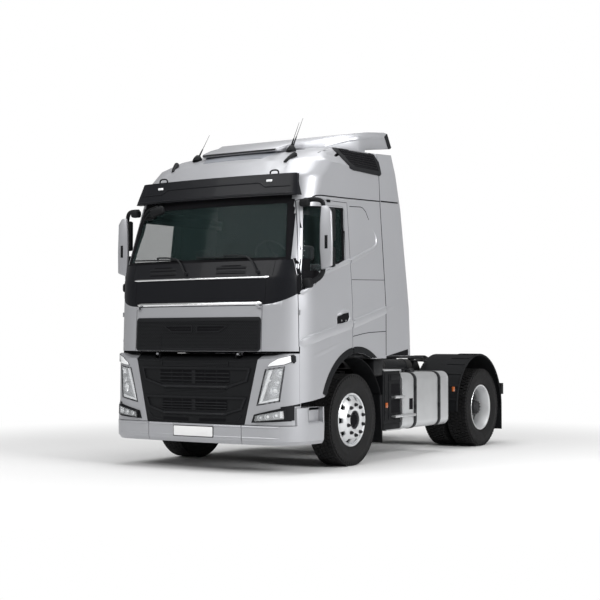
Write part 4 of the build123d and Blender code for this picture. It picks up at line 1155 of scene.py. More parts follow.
for sideName, side in sides.items():
    cabSkin = Skin("cab_shell", "roof", "side_fairing_" + sideName, "cowl_band", "door_" + sideName,
        "door_glass_" + sideName)
    doorBody = "door_" + sideName
    for name, body, start, end, count in (
        ("archLipDoor_", doorBody, arch["start"], arch["door"], 14),
        ("archLipCab_", "cab", arch["cab"], arch["end"], 12),
    ):
        path = arcPoints((0, axleZ), arch["radius"], start, end, count)
        bm = bmesh.new()
        addRidge(bm, cabSkin, sideName, path, arch["width"], arch["rise"], lean=0.5, fall=0.35)
        finishPiece(name + sideName, bm, guardPlastic, body)

    bm = bmesh.new()
    addEach(addRibbon, (bm, cabSkin, sideName), [
        (sideLines["drip"], 0.012, 0.003),
        ([(-0.104, 2.053), (0.636, 2.078)], 0.006, 0.0008),
        ([(-0.104, 1.43), (0.1, 1.458), (0.26, 1.474), (0.636, 1.489)], 0.008, 0.0008),
        ([(0.646, 1.215), (0.646, 3.395)], 0.012, 0.0012),
        ([(0.655, 2.992), (1.135, 3.012)], 0.016, 0.0012),
        # a dark line just above the cab crease, a painted contact shadow
        ([(a, b + 0.012) for a, b in sideLines["creaseCab"]], 0.007, 0.0008),
        # a dark line along the top edge of the recess, painted shade
        (sideLines["recessTop"], 0.008, 0.0008),
        ([(-0.545, 2.886), (-0.475, 2.89)], 0.03, 0.006),
    ])
    # a near-black triangle low on the fairing's rear, painted shade where the fairing's lower edge would rise
    addPatch(bm, cabSkin, sideName, [(0.68, 1.209), (1.238, 1.209), (1.238, 1.292)], 0.0015)
    finishPiece("cabSeams_" + sideName, bm, voidBlack, "cab")
    bm = bmesh.new()
    # a dark line just above the door crease, a painted contact shadow
    addRibbon(bm, cabSkin, sideName, [(a, b + 0.012) for a, b in sideLines["creaseDoor"]], 0.007, 0.0008)
    addRibbon(bm, cabSkin, sideName, sideLines["windowEdge"], 0.03, 0.0015, True, 0.028)
    foot = [(-1.062, 1.925), (-0.885, 1.995), (-0.755, 2.095), (-0.83, 2.125), (-1.06, 2.1)]
    addPatch(bm, cabSkin, sideName, foot, 0.024)
    addPatch(bm, cabSkin, sideName, [(-1.107, 1.868), (-1.072, 1.888), (-1.072, 2.24), (-1.107, 2.24)], 0.004,
        cell=0.02)
    corner = [(1.166, 1.858), (1.208, 1.878), (1.204, 2.0), (1.188, 2.24), (1.164, 2.24)]
    addPatch(bm, cabSkin, "front", [(side * x, z) for x, z in corner], 0.01, cell=0.015)
    # the handle recess in near-black, painted shade
    addPatch(bm, cabSkin, sideName, sideLines["handle"], 0.001)
    finishPiece("doorSeams_" + sideName, bm, voidBlack, doorBody)

    bm = bmesh.new()
    addEach(addRidge, (bm, cabSkin, sideName), [
        (sideLines["creaseCab"], 0.1, 0.016, {"lean": 0.82, "fall": 0.75}),
        (sideLines["beltCab"], 0.056, 0.014, (0, 0.3), {"lean": 0.7}),
        (sideLines["creaseFairing"], 0.07, 0.006, (0, 0.8), {"lean": 0.7}),
        ([(0.66, 1.225), (0.66, 3.39)], 0.014, 0.0015),
        ([(a, b - 0.016) for a, b in sideLines["drip"]], 0.02, 0.005, (0.05, 0.02)),
    ])
    finishPiece("cabRidges_" + sideName, bm, silver, "cab")
    bm = bmesh.new()
    addEach(addRidge, (bm, cabSkin, sideName), [
        (sideLines["creaseDoor"], 0.1, 0.016, (0.01, 0), {"lean": 0.82, "fall": 0.75}),
        (sideLines["beltDoor"], 0.052, 0.015, (0.01, 0), {"lean": 0.7}),
        (sideLines["foldDoor"], 0.05, 0.003, (0.3, 0.5), {"lean": 0.7}),
        ([(-0.44, 1.655), (-0.32, 1.7), (-0.205, 1.722)], 0.05, 0.02, (0.35, 0.1), {"lean": 0.4}),
        ([(-0.46, 1.63), (-0.452, 1.553), (-0.23, 1.568), (-0.182, 1.63), (-0.19, 1.7)], 0.012, 0.004),
    ])
    finishPiece("doorRidges_" + sideName, bm, silver, doorBody)
    bm = bmesh.new()
    for y in (-0.36, -0.27):
        spot = cabSkin.point(sideName, y, 1.6, 0.001)
        addRod(bm, spot, spot + Vector((side * 0.006, 0, 0)), 0.011, 14)
    finishPiece("doorLock_" + sideName, bm, chrome, doorBody)
print("cab sides made")

roofSkin = Skin("roof", "cab_shell")
visorSkin = Skin("visor")
roofHatch = {"outline": [(-0.4, -0.66), (0.4, -0.66), (0.5, -0.43), (-0.5, -0.43)], "color": (0.2, 0.21, 0.23, 1)}
hatchGlass = makeGloss("roofHatch", roofHatch["color"], 0.3)
bm = bmesh.new()
addPatch(bm, roofSkin, "top", roofHatch["outline"], 0.006, bevel=0.002)
finishPiece("roofHatch", bm, hatchGlass, "cab")

antennas = {
    "left": {"foot": (0.631, -0.413), "tips": [(0.04, 0.15, 0.34), (0.0, 0.17, 0.3)]},
    "right": {"foot": (-0.619, -0.477), "tips": [(0.04, 0.15, 0.27)]},
}
bm = bmesh.new()
for row in antennas.values():
    x, y = row["foot"]
    foot = roofSkin.point("top", x, y, 0)
    dome = [(0.058, -0.01), (0.056, 0.012), (0.044, 0.04), (0.026, 0.066), (0, 0.076)]
    addTurned(bm, dome, Matrix.Translation(foot) @ Matrix.Rotation(math.radians(-14), 4, "X"), 24)
    for index, (dx, dy, dz) in enumerate(row["tips"]):
        start = foot + Vector((0.012 - 0.024 * index, 0.012, 0.05))
        run = Vector((dx, dy, dz))
        addRod(bm, start, start + run * 0.36, 0.011, 10, 0.006)
        addRod(bm, start + run * 0.35, start + run, 0.0035, 8, 0.0018)
for side in (-1, 1):
    low = roofSkin.point("top", side * 0.765, -0.745, -0.004)
    high = roofSkin.point("top", side * 0.815, -0.612, -0.004)
    addTube(bm, [low, (low + high) / 2 + Vector((0, 0, 0.026)), high + Vector((0, 0, 0.03))], 0.02, 12, 0.03, 1)
    loop = [visorSkin.point("top", side * x, -0.93, lift) for x,
        lift in ((0.7, -0.01), (0.7, 0.045), (0.805, 0.045), (0.805, -0.01))]
    addTube(bm, loop, 0.009, 8, None, 2)
finishPiece("roofFittings", bm, blackPlastic, "cab")

bm = bmesh.new()
for side in (-1, 1):
    spot = visorSkin.point("front", side * 0.735, 3.085, 0)
    addBox(bm, spot - Vector((0.034, 0.014, 0.013)), spot + Vector((0.034, 0.02, 0.013)), 0.006)
finishPiece("visorLamps", bm, lampWhite, "cab")
bm = bmesh.new()
step = [(-1.0, 3.02), (-0.7, 3.02), (-0.62, 3.068), (0.62, 3.068), (0.7, 3.02), (1.0, 3.02)]
# a near-black line just under the step rib, a painted shadow
addRibbon(bm, visorSkin, "front", [(x, z - 0.004) for x, z in step], 0.01, 0.002)
finishPiece("visorStep", bm, voidBlack, "cab")
bm = bmesh.new()
addRidge(bm, visorSkin, "front", [(-1.06, 2.938), (1.06, 2.938)], 0.024, 0.008, (0.03, 0.03))
addRidge(bm, visorSkin, "front", step, 0.014, 0.005, (0.03, 0.03))
finishPiece("visorRibs", bm, anthracite, "cab")

louvre = {
    "frame": [
        (-0.11, 3.535), (0.018, 3.552), (0.49, 3.548), (0.6, 3.53), (0.66, 3.45), (0.695, 3.31), (0.66, 3.285),
        (0.3, 3.285), (0.05, 3.285), (-0.02, 3.3), (-0.07, 3.42),
    ],
    "mesh": [(0.0, 3.53), (0.484, 3.528), (0.575, 3.51), (0.64, 3.34), (0.11, 3.335), (0.03, 3.385)],
}
for sideName, side in sides.items():
    shellSkin = Skin("roof", "side_fairing_" + sideName, "cab_shell")
    bm = bmesh.new()
    addPatch(bm, shellSkin, sideName, louvre["frame"], 0.012, 0.004, bevel=0.004)
    addRibbon(bm, shellSkin, sideName, [(-0.45, 3.516), (-0.1, 3.538), (0.05, 3.552), (0.6, 3.545)], 0.02, 0.006)
    finishPiece("louvreFrame_" + sideName, bm, frameBlack, "cab")
    bm = bmesh.new()
    # the mesh behind the slats in near-black: the mesh, plus painted shade between the slats
    addPatch(bm, shellSkin, sideName, louvre["mesh"], 0.014, 0.0)
    finishPiece("louvreMesh_" + sideName, bm, voidBlack, "cab")
    bm = bmesh.new()
    for index in range(6):
        z = 3.37 + index * 0.028
        addRidge(bm, shellSkin, sideName, [(0.06 - index * 0.008, z), (0.6 - index * 0.012, z)], 0.012, 0.02)
    finishPiece("louvreSlats_" + sideName, bm, frameBlack, "cab")
    deflectorSkin = Skin("roof_deflector")
    bm = bmesh.new()
    addRibbon(bm, deflectorSkin, sideName, [(1.105, 3.835), (1.21, 3.68)], 0.075, 0.006)
    finishPiece("deflectorTrim_" + sideName, bm, frameBlack, "cab")
    bm = bmesh.new()
    addRidge(bm, deflectorSkin, sideName, [(0.12, 3.6), (0.4, 3.7), (0.8, 3.775), (1.05, 3.8)], 0.05, 0.008,
        (0.4, 0.1), lean=0.3)
    finishPiece("deflectorFold_" + sideName, bm, silver, "cab")
bm = bmesh.new()
addRibbon(bm, Skin("roof_deflector", "roof"), "front", [(-0.5, 3.5), (0.5, 3.5)], 0.02, 0.004)
finishPiece("deflectorLip", bm, frameBlack, "cab")
print("roof made")


def sideBox(bm, side, x, y, z, bevel=0.0, segments=2, turn=None):  # x, y and z are pairs, x on the left side
    low, high = sorted((side * x[0], side * x[1]))
    addBox(bm, at(low, y[0], z[0]), at(high, y[1], z[1]), bevel, segments, turn)


mirror = {
    "cover": [(1.318, 2.118), (1.448, 2.16), (1.452, 2.41), (1.442, 2.725), (1.395, 2.792), (1.318, 2.797),
        (1.302, 2.6), (1.3, 2.35)],
    "coverFront": -0.908, "coverBack": -0.868, "backFront": -0.872, "backRear": -0.812,
    "upper": (1.286, 1.452, 2.42, 2.765), "lower": (1.286, 1.45, 2.15, 2.36), "slot": (1.366, 1.404, 2.341, 2.482),
    "arms": [
        {"radius": 0.021, "root": 0.028, "path": [(1.335, -0.868, 2.77), (1.32, -0.87, 2.85), (1.24, -0.9, 2.868),
            (1.13, -0.92, 2.86)]},
        {"radius": 0.024, "root": 0.034, "path": [(1.335, -0.868, 2.18), (1.32, -0.88, 2.06), (1.25, -0.95, 1.995),
            (1.19, -1.0, 1.98)]},
    ],
}
for sideName, side in sides.items():
    body = bodyOf("mirror_" + sideName)
    upright = Matrix.Translation(at(0, mirror["coverBack"], 0)) @ Matrix.Rotation(math.radians(90), 4, "X")
    bm = bmesh.new()
    addPlate(bm, [(side * x, z) for x, z in mirror["cover"]][::side], mirror["coverBack"] - mirror["coverFront"],
        upright, 0.016, 3)
    finishPiece("mirrorCover_" + sideName, bm, silver, body, ["mirror_" + sideName], 40)
    bm, glass = bmesh.new(), bmesh.new()
    for key in ("upper", "lower"):
        x0, x1, z0, z1 = mirror[key]
        sideBox(bm, side, (x0, x1), (mirror["backFront"], mirror["backRear"]), (z0, z1), 0.022, 3)
        faceY = mirror["backRear"]
        sideBox(glass, side, (x0 + 0.014, x1 - 0.014), (faceY - 0.004, faceY + 0.002), (z0 + 0.014, z1 - 0.014), 0.002)
    x0, x1, z0, z1 = mirror["slot"]
    sideBox(bm, side, (x0, x1), (mirror["coverFront"] - 0.001, mirror["coverFront"] + 0.01), (z0, z1), 0.002)
    for row in mirror["arms"]:
        addTube(bm, [at(side * x, y, z) for x, y, z in row["path"]], row["radius"], 12, row["root"], 2)
    addRod(bm, at(side * 1.33, -0.862, 2.13), at(side * 1.33, -0.862, 2.78), 0.014, 12)
    sideBox(bm, side, (1.15, 1.262), (-1.052, -0.935), (1.932, 2.036), 0.03, 3)
    sideBox(bm, side, (1.09, 1.2), (-0.985, -0.9), (2.79, 2.872), 0.026, 3)
    finishPiece("mirrorBack_" + sideName, bm, blackPlastic, body)
    finishPiece("mirrorGlass_" + sideName, glass, mirrorGlass, body)

bm = bmesh.new()
headTurn = Matrix.Rotation(math.radians(-14), 4, "Y")
addBox(bm, at(-0.73, -1.215, 2.762), at(-0.55, -1.14, 2.862), 0.034, 3, headTurn)
addBox(bm, at(-0.9, -1.07, 2.74), at(-0.78, -1.02, 2.79), 0.02, 3, headTurn)
for lift in (0.0, 0.05):
    root = Vector((-1.03, axleY - 0.965, 2.672 + lift))
    addTube(bm, [root, Vector((-0.86, axleY - 1.1, 2.79 + lift)), Vector((-0.66, axleY - 1.165, 2.82 + lift))], 0.012,
        10, None, 2)
finishPiece("kerbMirror", bm, blackPlastic, "cab", ["kerb_mirror"])
print("mirrors made")

tankLow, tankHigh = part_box("fuel_tank")
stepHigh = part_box("battery_box")[1]
exhaustLow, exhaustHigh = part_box("exhaust_box")
bandWidth = 0.07


def addBand(bm, low, high, y, width, proud, corner):  # a flat band round a box that lies along the frame
    outline = roundedRect(low.x + 0.01, high.x + proud, low.z - proud, high.z + proud, corner + proud, 6)
    turn = Matrix.Translation((0, y + width / 2, 0)) @ Matrix.Rotation(math.radians(90), 4, "X")
    addPlate(bm, outline, width, turn, 0.002)


bm = bmesh.new()
for y in (1.46, 2.1):
    addBand(bm, tankLow, tankHigh, axleY + y, bandWidth, 0.007, 0.09)
    for z in (0.56, 0.78):
        addBox(bm, at(tankHigh.x + 0.002, y - 0.02, z), at(tankHigh.x + 0.016, y + 0.02, z + 0.06), 0.004)
cap = Vector((0.98, axleY + 1.72, tankHigh.z))
addTurned(bm, [(0.062, -0.01), (0.062, 0.02), (0.056, 0.03), (0.048, 0.034), (0.046, 0.044), (0, 0.046)],
    Matrix.Translation(cap), 28)
addTurned(bm, [(0.034, -0.01), (0.034, 0.012), (0.026, 0.018), (0, 0.02)],
    Matrix.Translation(cap + Vector((-0.13, 0.1, 0))), 20)
bends = ((-0.13, 0.1, 0.01), (-0.14, 0.1, 0.035), (-0.26, 0.02, 0.03), (-0.42, -0.16, -0.03), (-0.54, -0.3, -0.12))
addTube(bm, [cap + Vector(bend) for bend in bends], 0.008, 10, None, 3)
finishPiece("tankBands", bm, frameBlack, "chassis")
bm = bmesh.new()
for y in (tankLow.y + 0.012, tankHigh.y - 0.012):
    addBand(bm, tankLow, tankHigh, y, 0.02, 0.003, 0.09)
finishPiece("tankRims", bm, tankAlloy, "chassis")

tankSkin = Skin("fuel_tank")
stepSkin = Skin("battery_box", "fuel_tank")
bm = bmesh.new()
# the tank recess and the step pockets are near-black patches, painted shade
addPatch(bm, tankSkin, "left", [(1.3, 0.56), (1.405, 0.56), (1.405, 0.7), (1.3, 0.7)], 0.001)
for y0, y1, z0, z1 in ((0.9, 1.1, 0.54, 0.69), (0.9, 1.1, 0.76, 0.88)):
    addPatch(bm, stepSkin, "left", [(y0, z0), (y1, z0), (y1, z1), (y0, z1)], 0.001)
finishPiece("stepVoids", bm, voidBlack, "chassis")
bm = bmesh.new()
for y0, y1, z in ((0.9, 1.13, 0.725), (0.9, 1.41, 0.5)):
    x = tankHigh.x + 0.028
    addRod(bm, at(x, y0, z), at(x, y1, z), 0.017, 16, None, 0.003)
    for y in (y0 + 0.02, y1 - 0.02):
        addRod(bm, at(stepHigh.x - 0.02, y, z), at(x, y, z), 0.011, 10)
addRibbon(bm, tankSkin, "left", [(1.3, 0.56), (1.405, 0.56), (1.405, 0.7), (1.3, 0.7)], 0.008, 0.004, True)
finishPiece("stepRungs", bm, tankAlloy, "chassis")
bm = bmesh.new()
for y in (0.74, 0.84):
    addRibbon(bm, stepSkin, "left", [(y, 0.46), (y, 1.0)], 0.014, 0.006)
for z in (0.46, 0.9, 1.0):
    addRibbon(bm, stepSkin, "left", [(0.73, z), (1.09, z)], 0.014, 0.006)
addPatch(bm, stepSkin, "left", roundedRect(0.87, 1.09, 0.92, 0.985, 0.012), 0.008, bevel=0.003)
for z in (0.56, 0.62, 0.68, 0.74, 0.8):
    addRibbon(bm, stepSkin, "left", [(0.755, z), (0.825, z)], 0.012, 0.005)
sideBox(bm, 1, (0.5, 1.162), (0.73, 1.136), (0.345, 0.424), 0.014, 3)
sideBox(bm, 1, (0.5, 1.164), (1.1, 1.142), (0.42, 1.0), 0.004)
finishPiece("batteryRibs", bm, blackPlastic, "chassis")
bm = bmesh.new()
sideBox(bm, 1, (0.9, 1.18), (0.72, 1.136), (1.03, 1.046), 0.006)
sideBox(bm, 1, (0.9, 1.172), (0.78, 1.136), (0.336, 0.352), 0.006)
finishPiece("stepEdges", bm, tankAlloy, "chassis")

bm = bmesh.new()  # bumper treads
for side in (-1, 1):
    sideBox(bm, side, (1.16, 1.19), (-1.036, -0.722), (0.508, 0.684), 0.003)
    sideBox(bm, side, (1.186, 1.24), (-1.026, -0.74), (0.508, 0.526), 0.003)
    for index in range(9):
        y = -1.012 + index * 0.03
        sideBox(bm, side, (1.2, 1.236), (y, y + 0.016), (0.52, 0.538), 0.003, 1)
    sideBox(bm, side, (1.19, 1.228), (-1.0, -0.988), (0.52, 0.684), 0.004)
finishPiece("bumperTreads", bm, silver, "chassis")

exhaustSkin = Skin("exhaust_box")
bm = bmesh.new()
for y in (0.82, 1.38):
    outline = [(-x, z) for x, z in roundedRect(0.43, -exhaustLow.x + 0.006, exhaustLow.z - 0.006,
        exhaustHigh.z + 0.006, 0.064, 6)]
    turn = Matrix.Translation((0, axleY + y + 0.025, 0)) @ Matrix.Rotation(math.radians(90), 4, "X")
    addPlate(bm, outline, 0.05, turn, 0.002)
for index in range(9):
    z = 0.47 + index * 0.05
    addRidge(bm, exhaustSkin, "right", [(0.9, z), (1.3, z)], 0.024, 0.008, (0.03, 0.03))
finishPiece("exhaustShield", bm, tankAlloy, "chassis")
bm = bmesh.new()
airTank = {"x": 0.55, "z": 1.062, "radius": 0.088, "spans": ((0.74, 1.52), (1.6, 2.46))}
pipe = [at(-0.9, 1.49, 0.62), at(-0.9, 1.6, 0.62), at(-0.93, 1.68, 0.6), at(-1.0, 1.74, 0.55)]
addTube(bm, pipe, 0.055, 20, None, 2)
addRod(bm, at(-0.55, 1.62, 0.62), at(-0.55, 2.32, 0.62), 0.13, 40, None, 0.02)
addRod(bm, at(-0.62, 1.85, 0.82), at(-0.62, 2.35, 0.82), 0.08, 32, None, 0.02)
for y in (1.72, 2.2):
    addBox(bm, at(-0.56, y, 0.6), at(-0.42, y + 0.04, 0.9), 0.004)
for y0, y1 in airTank["spans"]:
    x, z = airTank["x"], airTank["z"]
    addRod(bm, at(x, y0, z), at(x, y1, z), airTank["radius"], 40, None, 0.02)
    for y in (y0 + 0.14, y1 - 0.18):
        addBox(bm, at(0.385, y, 0.93), at(0.56, y + 0.03, 1.0), 0.004)
        hoop = Matrix.Translation(at(x, y + 0.015, z)) @ Matrix.Rotation(math.radians(90), 4, "X")
        addTurned(bm, [(0.086, -0.015), (0.092, -0.015), (0.092, 0.015), (0.086, 0.015)], hoop, 40, closed=True)
addBox(bm, at(-0.34, 0.78, 0.958), at(0.3, 1.12, 1.205), 0.012)
addBox(bm, at(-0.75, 0.44, 0.958), at(0.75, 0.56, 1.03), 0.01)
for side in (-1, 1):
    addEach(sideBox, (bm, side), [
        ((0.36, 0.44), (0.42, 0.58), (0.94, 1.17), 0.012),
        ((0.44, 1.13), (0.6, 0.72), (0.97, 1.06), 0.012),
        ((0.96, 1.165), (0.5, 0.72), (0.98, 1.174), 0.02),
    ])
for x, z in ((0.3, 1.0), (0.24, 1.02), (0.18, 1.0)):
    addTube(bm, [at(x, 1.12, z + 0.06), at(x, 1.2, z + 0.06), at(x, 1.34, z + 0.01), at(x, 2.4, z + 0.01),
        at(x, 2.58, 0.98)], 0.014, 10, None, 2)
finishPiece("airTanks", bm, chassisPaint, "chassis")

bm = bmesh.new()
for side in (-1, 1):
    reach = 1.173 if side > 0 else 1.182
    addEach(sideBox, (bm, side), [
        ((reach - 0.01, reach + 0.012), (0.749, 0.801), (0.605, 0.665), 0.006),
        ((1.186, 1.208), (2.474, 2.526), (0.74, 0.8), 0.006),
        ((1.08, 1.14), (3.992, 4.012), (0.75, 0.81), 0.006),
    ])
finishPiece("sideMarkers", bm, amberLens, "chassis")

for sideName, side in sides.items():
    guardLow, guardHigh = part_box("rear_mudguard_" + sideName)
    radius = guardHigh.z - axleZ
    outer = side * max(abs(guardLow.x), abs(guardHigh.x))
    bm = bmesh.new()
    arc = [Vector((outer, rearAxleY + a, b)) for a, b in arcPoints((0, axleZ), radius - 0.006, 182, -2, 40)]
    addTube(bm, [spot - Vector((side * 0.012, 0, 0)) for spot in arc], 0.014, 10)
    for angle in range(20, 171, 15):
        a, b = arcPoints((0, axleZ), radius, angle, angle, 1)[0]
        wide = 0.09 if angle in (65, 80, 95, 110) else 0.03
        turn = Matrix.Rotation(math.radians(angle - 90), 4, "X")
        middle = Vector(((outer + side * 0.9) / 2, rearAxleY + a, b))
        size = Vector((abs(outer - side * 0.9) / 2 - 0.02, wide / 2, 0.007))
        addBox(bm, middle - size, middle + size, 0.005, 2, turn)
    finishPiece("guardRibs_" + sideName, bm, guardPlastic, "chassis")

bm = bmesh.new()
for side in (-1, 1):
    face = side * 0.425
    for y in [index * 0.16 - 0.78 for index in range(31)]:
        for z in (0.74, 0.915):
            addRod(bm, at(face, y, z), at(face + side * 0.014, y, z), 0.014, 6)
for side in (-1, 1):
    for y in (2.62, 2.78, 3.22, 3.38):
        addRod(bm, at(side * 0.3, y, 0.976), at(side * 0.3, y, 0.996), 0.02, 6)
for x in (-0.32, 0.32):
    for y in (1.24, 1.54, 1.84):
        addRod(bm, at(x, y, 0.97), at(x, y, 0.98), 0.012, 6)
finishPiece("frameBolts", bm, castIron, "chassis")
bm = bmesh.new()
for row in range(9):
    for column in range(9):
        x, y = -0.36 + column * 0.09, 1.22 + row * 0.08
        addBox(bm, at(x - 0.028, y - 0.006, 0.97), at(x + 0.028, y + 0.006, 0.977), 0.003, 1)
finishPiece("deckGrip", bm, castIron, "chassis")

bm = bmesh.new()
for side in (-1, 1):
    for x0, x1 in ((0.62, 0.78), (0.8, 0.98), (1.0, 1.12)):
        sideBox(bm, side, (x0, x1), (4.094, 4.106), (0.69, 0.79), 0.008)
finishPiece("rearLamps", bm, redLens, "chassis")
bm = bmesh.new()
addBox(bm, at(-0.26, 4.094, 0.685), at(0.26, 4.103, 0.79), 0.003)
finishPiece("rearPlate", bm, plateFace, "chassis")
bm = bmesh.new()
for side in (-1, 1):
    sideBox(bm, side, (0.58, 1.15), (4.088, 4.1), (0.675, 0.802), 0.006)
addBox(bm, at(-0.28, 4.088, 0.67), at(0.28, 4.099, 0.802), 0.003)
finishPiece("rearFrames", bm, blackPlastic, "chassis")

coupling = {"y": 3.13, "top": 1.18}
bm = bmesh.new()
for angle in range(-60, 241, 12):
    a, b = math.cos(math.radians(angle)), math.sin(math.radians(angle))
    low = at(0.3 * a, coupling["y"] + 0.3 * b, coupling["top"])
    high = at(0.43 * a, coupling["y"] + 0.43 * b, coupling["top"])
    if b < -0.71 or (b > 0.3 and abs(a) < 0.55):
        continue
    addRod(bm, low + Vector((0, 0, 0.0005)), high + Vector((0, 0, 0.0005)), 0.004, 6)
addTube(bm, [at(0.3, 2.86, 1.12), at(0.5, 2.84, 1.12), at(0.62, 2.84, 1.12)], 0.012, 10)
addRod(bm, at(0.61, 2.78, 1.12), at(0.61, 2.9, 1.12), 0.012, 10)
finishPiece("couplingFittings", bm, castIron, "fifth_wheel")

bm = bmesh.new()
for x in (-0.86, -0.52, 0.52, 0.86):
    addBox(bm, at(x - 0.035, 0.646, 1.66), at(x + 0.035, 0.658, 2.86), 0.005)
for x in (-0.18, 0.18):
    addBox(bm, at(x - 0.035, 0.646, 1.78), at(x + 0.035, 0.658, 2.86), 0.005)
addBox(bm, at(-1.04, 0.646, 1.2), at(1.04, 0.662, 1.26), 0.006)
finishPiece("backRibs", bm, silver, "cab")
bm = bmesh.new()
addBox(bm, at(-0.36, 0.646, 1.42), at(0.36, 0.676, 1.62), 0.01, 3)
for x in (-0.28, -0.14, 0.0, 0.14, 0.28):
    addRod(bm, at(x, 0.67, 1.52), at(x, 0.71, 1.51), 0.034, 24, 0.03, 0.004)
    addRod(bm, at(x, 0.7, 1.51), at(x, 0.722, 1.505), 0.02, 20, 0.018)
for x in (-1.0, 1.0):
    addEach(addRod, (bm,), [
        (at(x, 0.65, 1.4), at(x, 0.7, 1.4), 0.009, 10),
        (at(x, 0.65, 2.1), at(x, 0.7, 2.1), 0.009, 10),
        (at(x, 0.698, 1.38), at(x, 0.698, 2.12), 0.012, 14),
    ])
finishPiece("lineConnectors", bm, blackPlastic, "cab")
print("frame details made")

padding = {"voxel": 0.009, "bunkVoxel": 0.014, "pressure": 4, "travel": 0.014, "frames": 20}


def bakeMesh(piece):  # the modifiers become the mesh
    made = bpy.data.meshes.new_from_object(piece.evaluated_get(bpy.context.evaluated_depsgraph_get()))
    piece.modifiers.clear()
    piece.data = made


def puffed(bm, voxel):  # a cushion blown up from a shape that starts a little small
    pad = linked("pad", meshFrom(bm, "pad"))
    remesh = pad.modifiers.new("remesh", "REMESH")
    remesh.mode = "VOXEL"
    remesh.voxel_size = voxel
    bpy.context.view_layer.update()
    bakeMesh(pad)
    rest = [vert.co.copy() for vert in pad.data.vertices]
    cloth = pad.modifiers.new("cloth", "CLOTH")
    cloth.settings.use_pressure = True
    cloth.settings.uniform_pressure_force = padding["pressure"]
    cloth.settings.effector_weights.gravity = 0
    cloth.collision_settings.use_collision = False
    for step in range(1, padding["frames"] + 1):
        bpy.context.scene.frame_set(step)
    bakeMesh(pad)
    for vert, start in zip(pad.data.vertices, rest):
        moved = vert.co - start
        if moved.length > padding["travel"]:
            vert.co = start + moved.normalized() * padding["travel"]
    bpy.context.scene.frame_set(1)
    smoothed = pad.modifiers.new("even", "LAPLACIANSMOOTH")
    smoothed.iterations = 2
    smoothed.lambda_factor = 0.6
    finer = pad.modifiers.new("finer", "SUBSURF")
    finer.levels = finer.render_levels = 1
    bpy.context.view_layer.update()
    bakeMesh(pad)
    made = bmesh.new()
    made.from_mesh(pad.data)
    bpy.data.objects.remove(pad)
    return made


def sewn(bm, gap, depth, width):  # pulls the cloth in along the lines where gap(point) is 0
    bm.normal_update()
    for vert, normal in [(vert, vert.normal.copy()) for vert in bm.verts]:
        near = gap(vert.co) / width
        if near < 3:
            vert.co -= normal * depth * math.exp(-near * near)


def padBox(low, high, corner):
    bm = bmesh.new()
    inset = Vector((0.008, 0.008, 0.008))
    addBox(bm, low + inset, high - inset, corner, 4)
    return bm


seat = {"middle": 0.68, "cushion": (1.6, 1.765), "back": (1.755, 2.25), "head": (2.262, 2.448)}


def addSeat(side):
    middle = side * seat["middle"]
    name = "left" if side > 0 else "right"
    body = bodyOf("seat_" + name)
    shapes = {
        "cushion": (at(middle - 0.255, -0.7, seat["cushion"][0]), at(middle + 0.255, -0.19, seat["cushion"][1]), 0.05),
        "back": (at(middle - 0.25, -0.298, seat["back"][0]), at(middle + 0.25, -0.178, seat["back"][1]), 0.045),
        "head": (at(middle - 0.14, -0.29, seat["head"][0]), at(middle + 0.14, -0.186, seat["head"][1]), 0.04),
    }
    gaps = {
        "cushion": lambda p: min(abs(abs(p.x - middle) - 0.155),
            abs(p.y - axleY + 0.45) if abs(p.x - middle) < 0.155 else 9),
        "back": lambda p: min(
            [abs(abs(p.x - middle) - 0.15)] + [abs(p.z - z) if abs(p.x - middle) < 0.15 else 9 for z in (1.9, 2.1)]
        ),
        "head": lambda p: abs(abs(p.x - middle) - 0.095),
    }
    for part, (low, high, corner) in shapes.items():
        bm = puffed(padBox(low, high, corner), padding["voxel"])
        sewn(bm, gaps[part], 0.006, 0.007)
        replaced = ["seat_" + name] if part == "back" else []
        piece = finishPiece("seat" + part.title() + "_" + name, bm, seatCloth, body, replaced, 180)
    bm = bmesh.new()
    for (low, high, corner), level in ((shapes["cushion"], None), (shapes["back"], -0.238)):
        if level is None:
            outline = roundedRect(low.x + 0.012, high.x - 0.012, low.y + 0.012, high.y - 0.012, corner, 5)
            points = [Vector((x, y, (low.z + high.z) / 2)) for x, y in outline]
        else:
            outline = roundedRect(low.x + 0.012, high.x - 0.012, low.z + 0.012, high.z - 0.012, corner, 5)
            points = [Vector((x, axleY + level, z)) for x, z in outline]
        addTube(bm, points + points[:1], 0.005, 8)
    finishPiece("seatPiping_" + name, bm, trimPlastic, body)
    bm = bmesh.new()
    addBox(bm, at(middle - 0.2, -0.66, 1.33), at(middle + 0.2, -0.24, 1.37), 0.01)
    for z in (1.39, 1.43, 1.47, 1.51):
        addBox(bm, at(middle - 0.16, -0.6, z), at(middle + 0.16, -0.28, z + 0.034), 0.014, 3)
    addBox(bm, at(middle - 0.24, -0.68, 1.545), at(middle + 0.24, -0.21, 1.612), 0.02, 3)
    addBox(bm, at(middle - 0.225, -0.19, 1.68), at(middle + 0.225, -0.163, 2.22), 0.012, 3)
    for x in (-0.07, 0.07):
        addRod(bm, at(middle + x, -0.236, 2.22), at(middle + x, -0.236, 2.3), 0.007, 12)
    for edge in (-1, 1):
        addBox(bm, at(middle + edge * 0.25 - 0.012, -0.32, 1.6), at(middle + edge * 0.25 + 0.012, -0.17, 1.8), 0.01, 3)
        addBox(bm, at(middle + edge * 0.236 - 0.024, -0.53, 1.93), at(middle + edge * 0.236 + 0.024, -0.24, 1.975),
            0.018, 3)
    finishPiece("seatFrame_" + name, bm, trimPlastic, body)


for side in sides.values():
    addSeat(side)

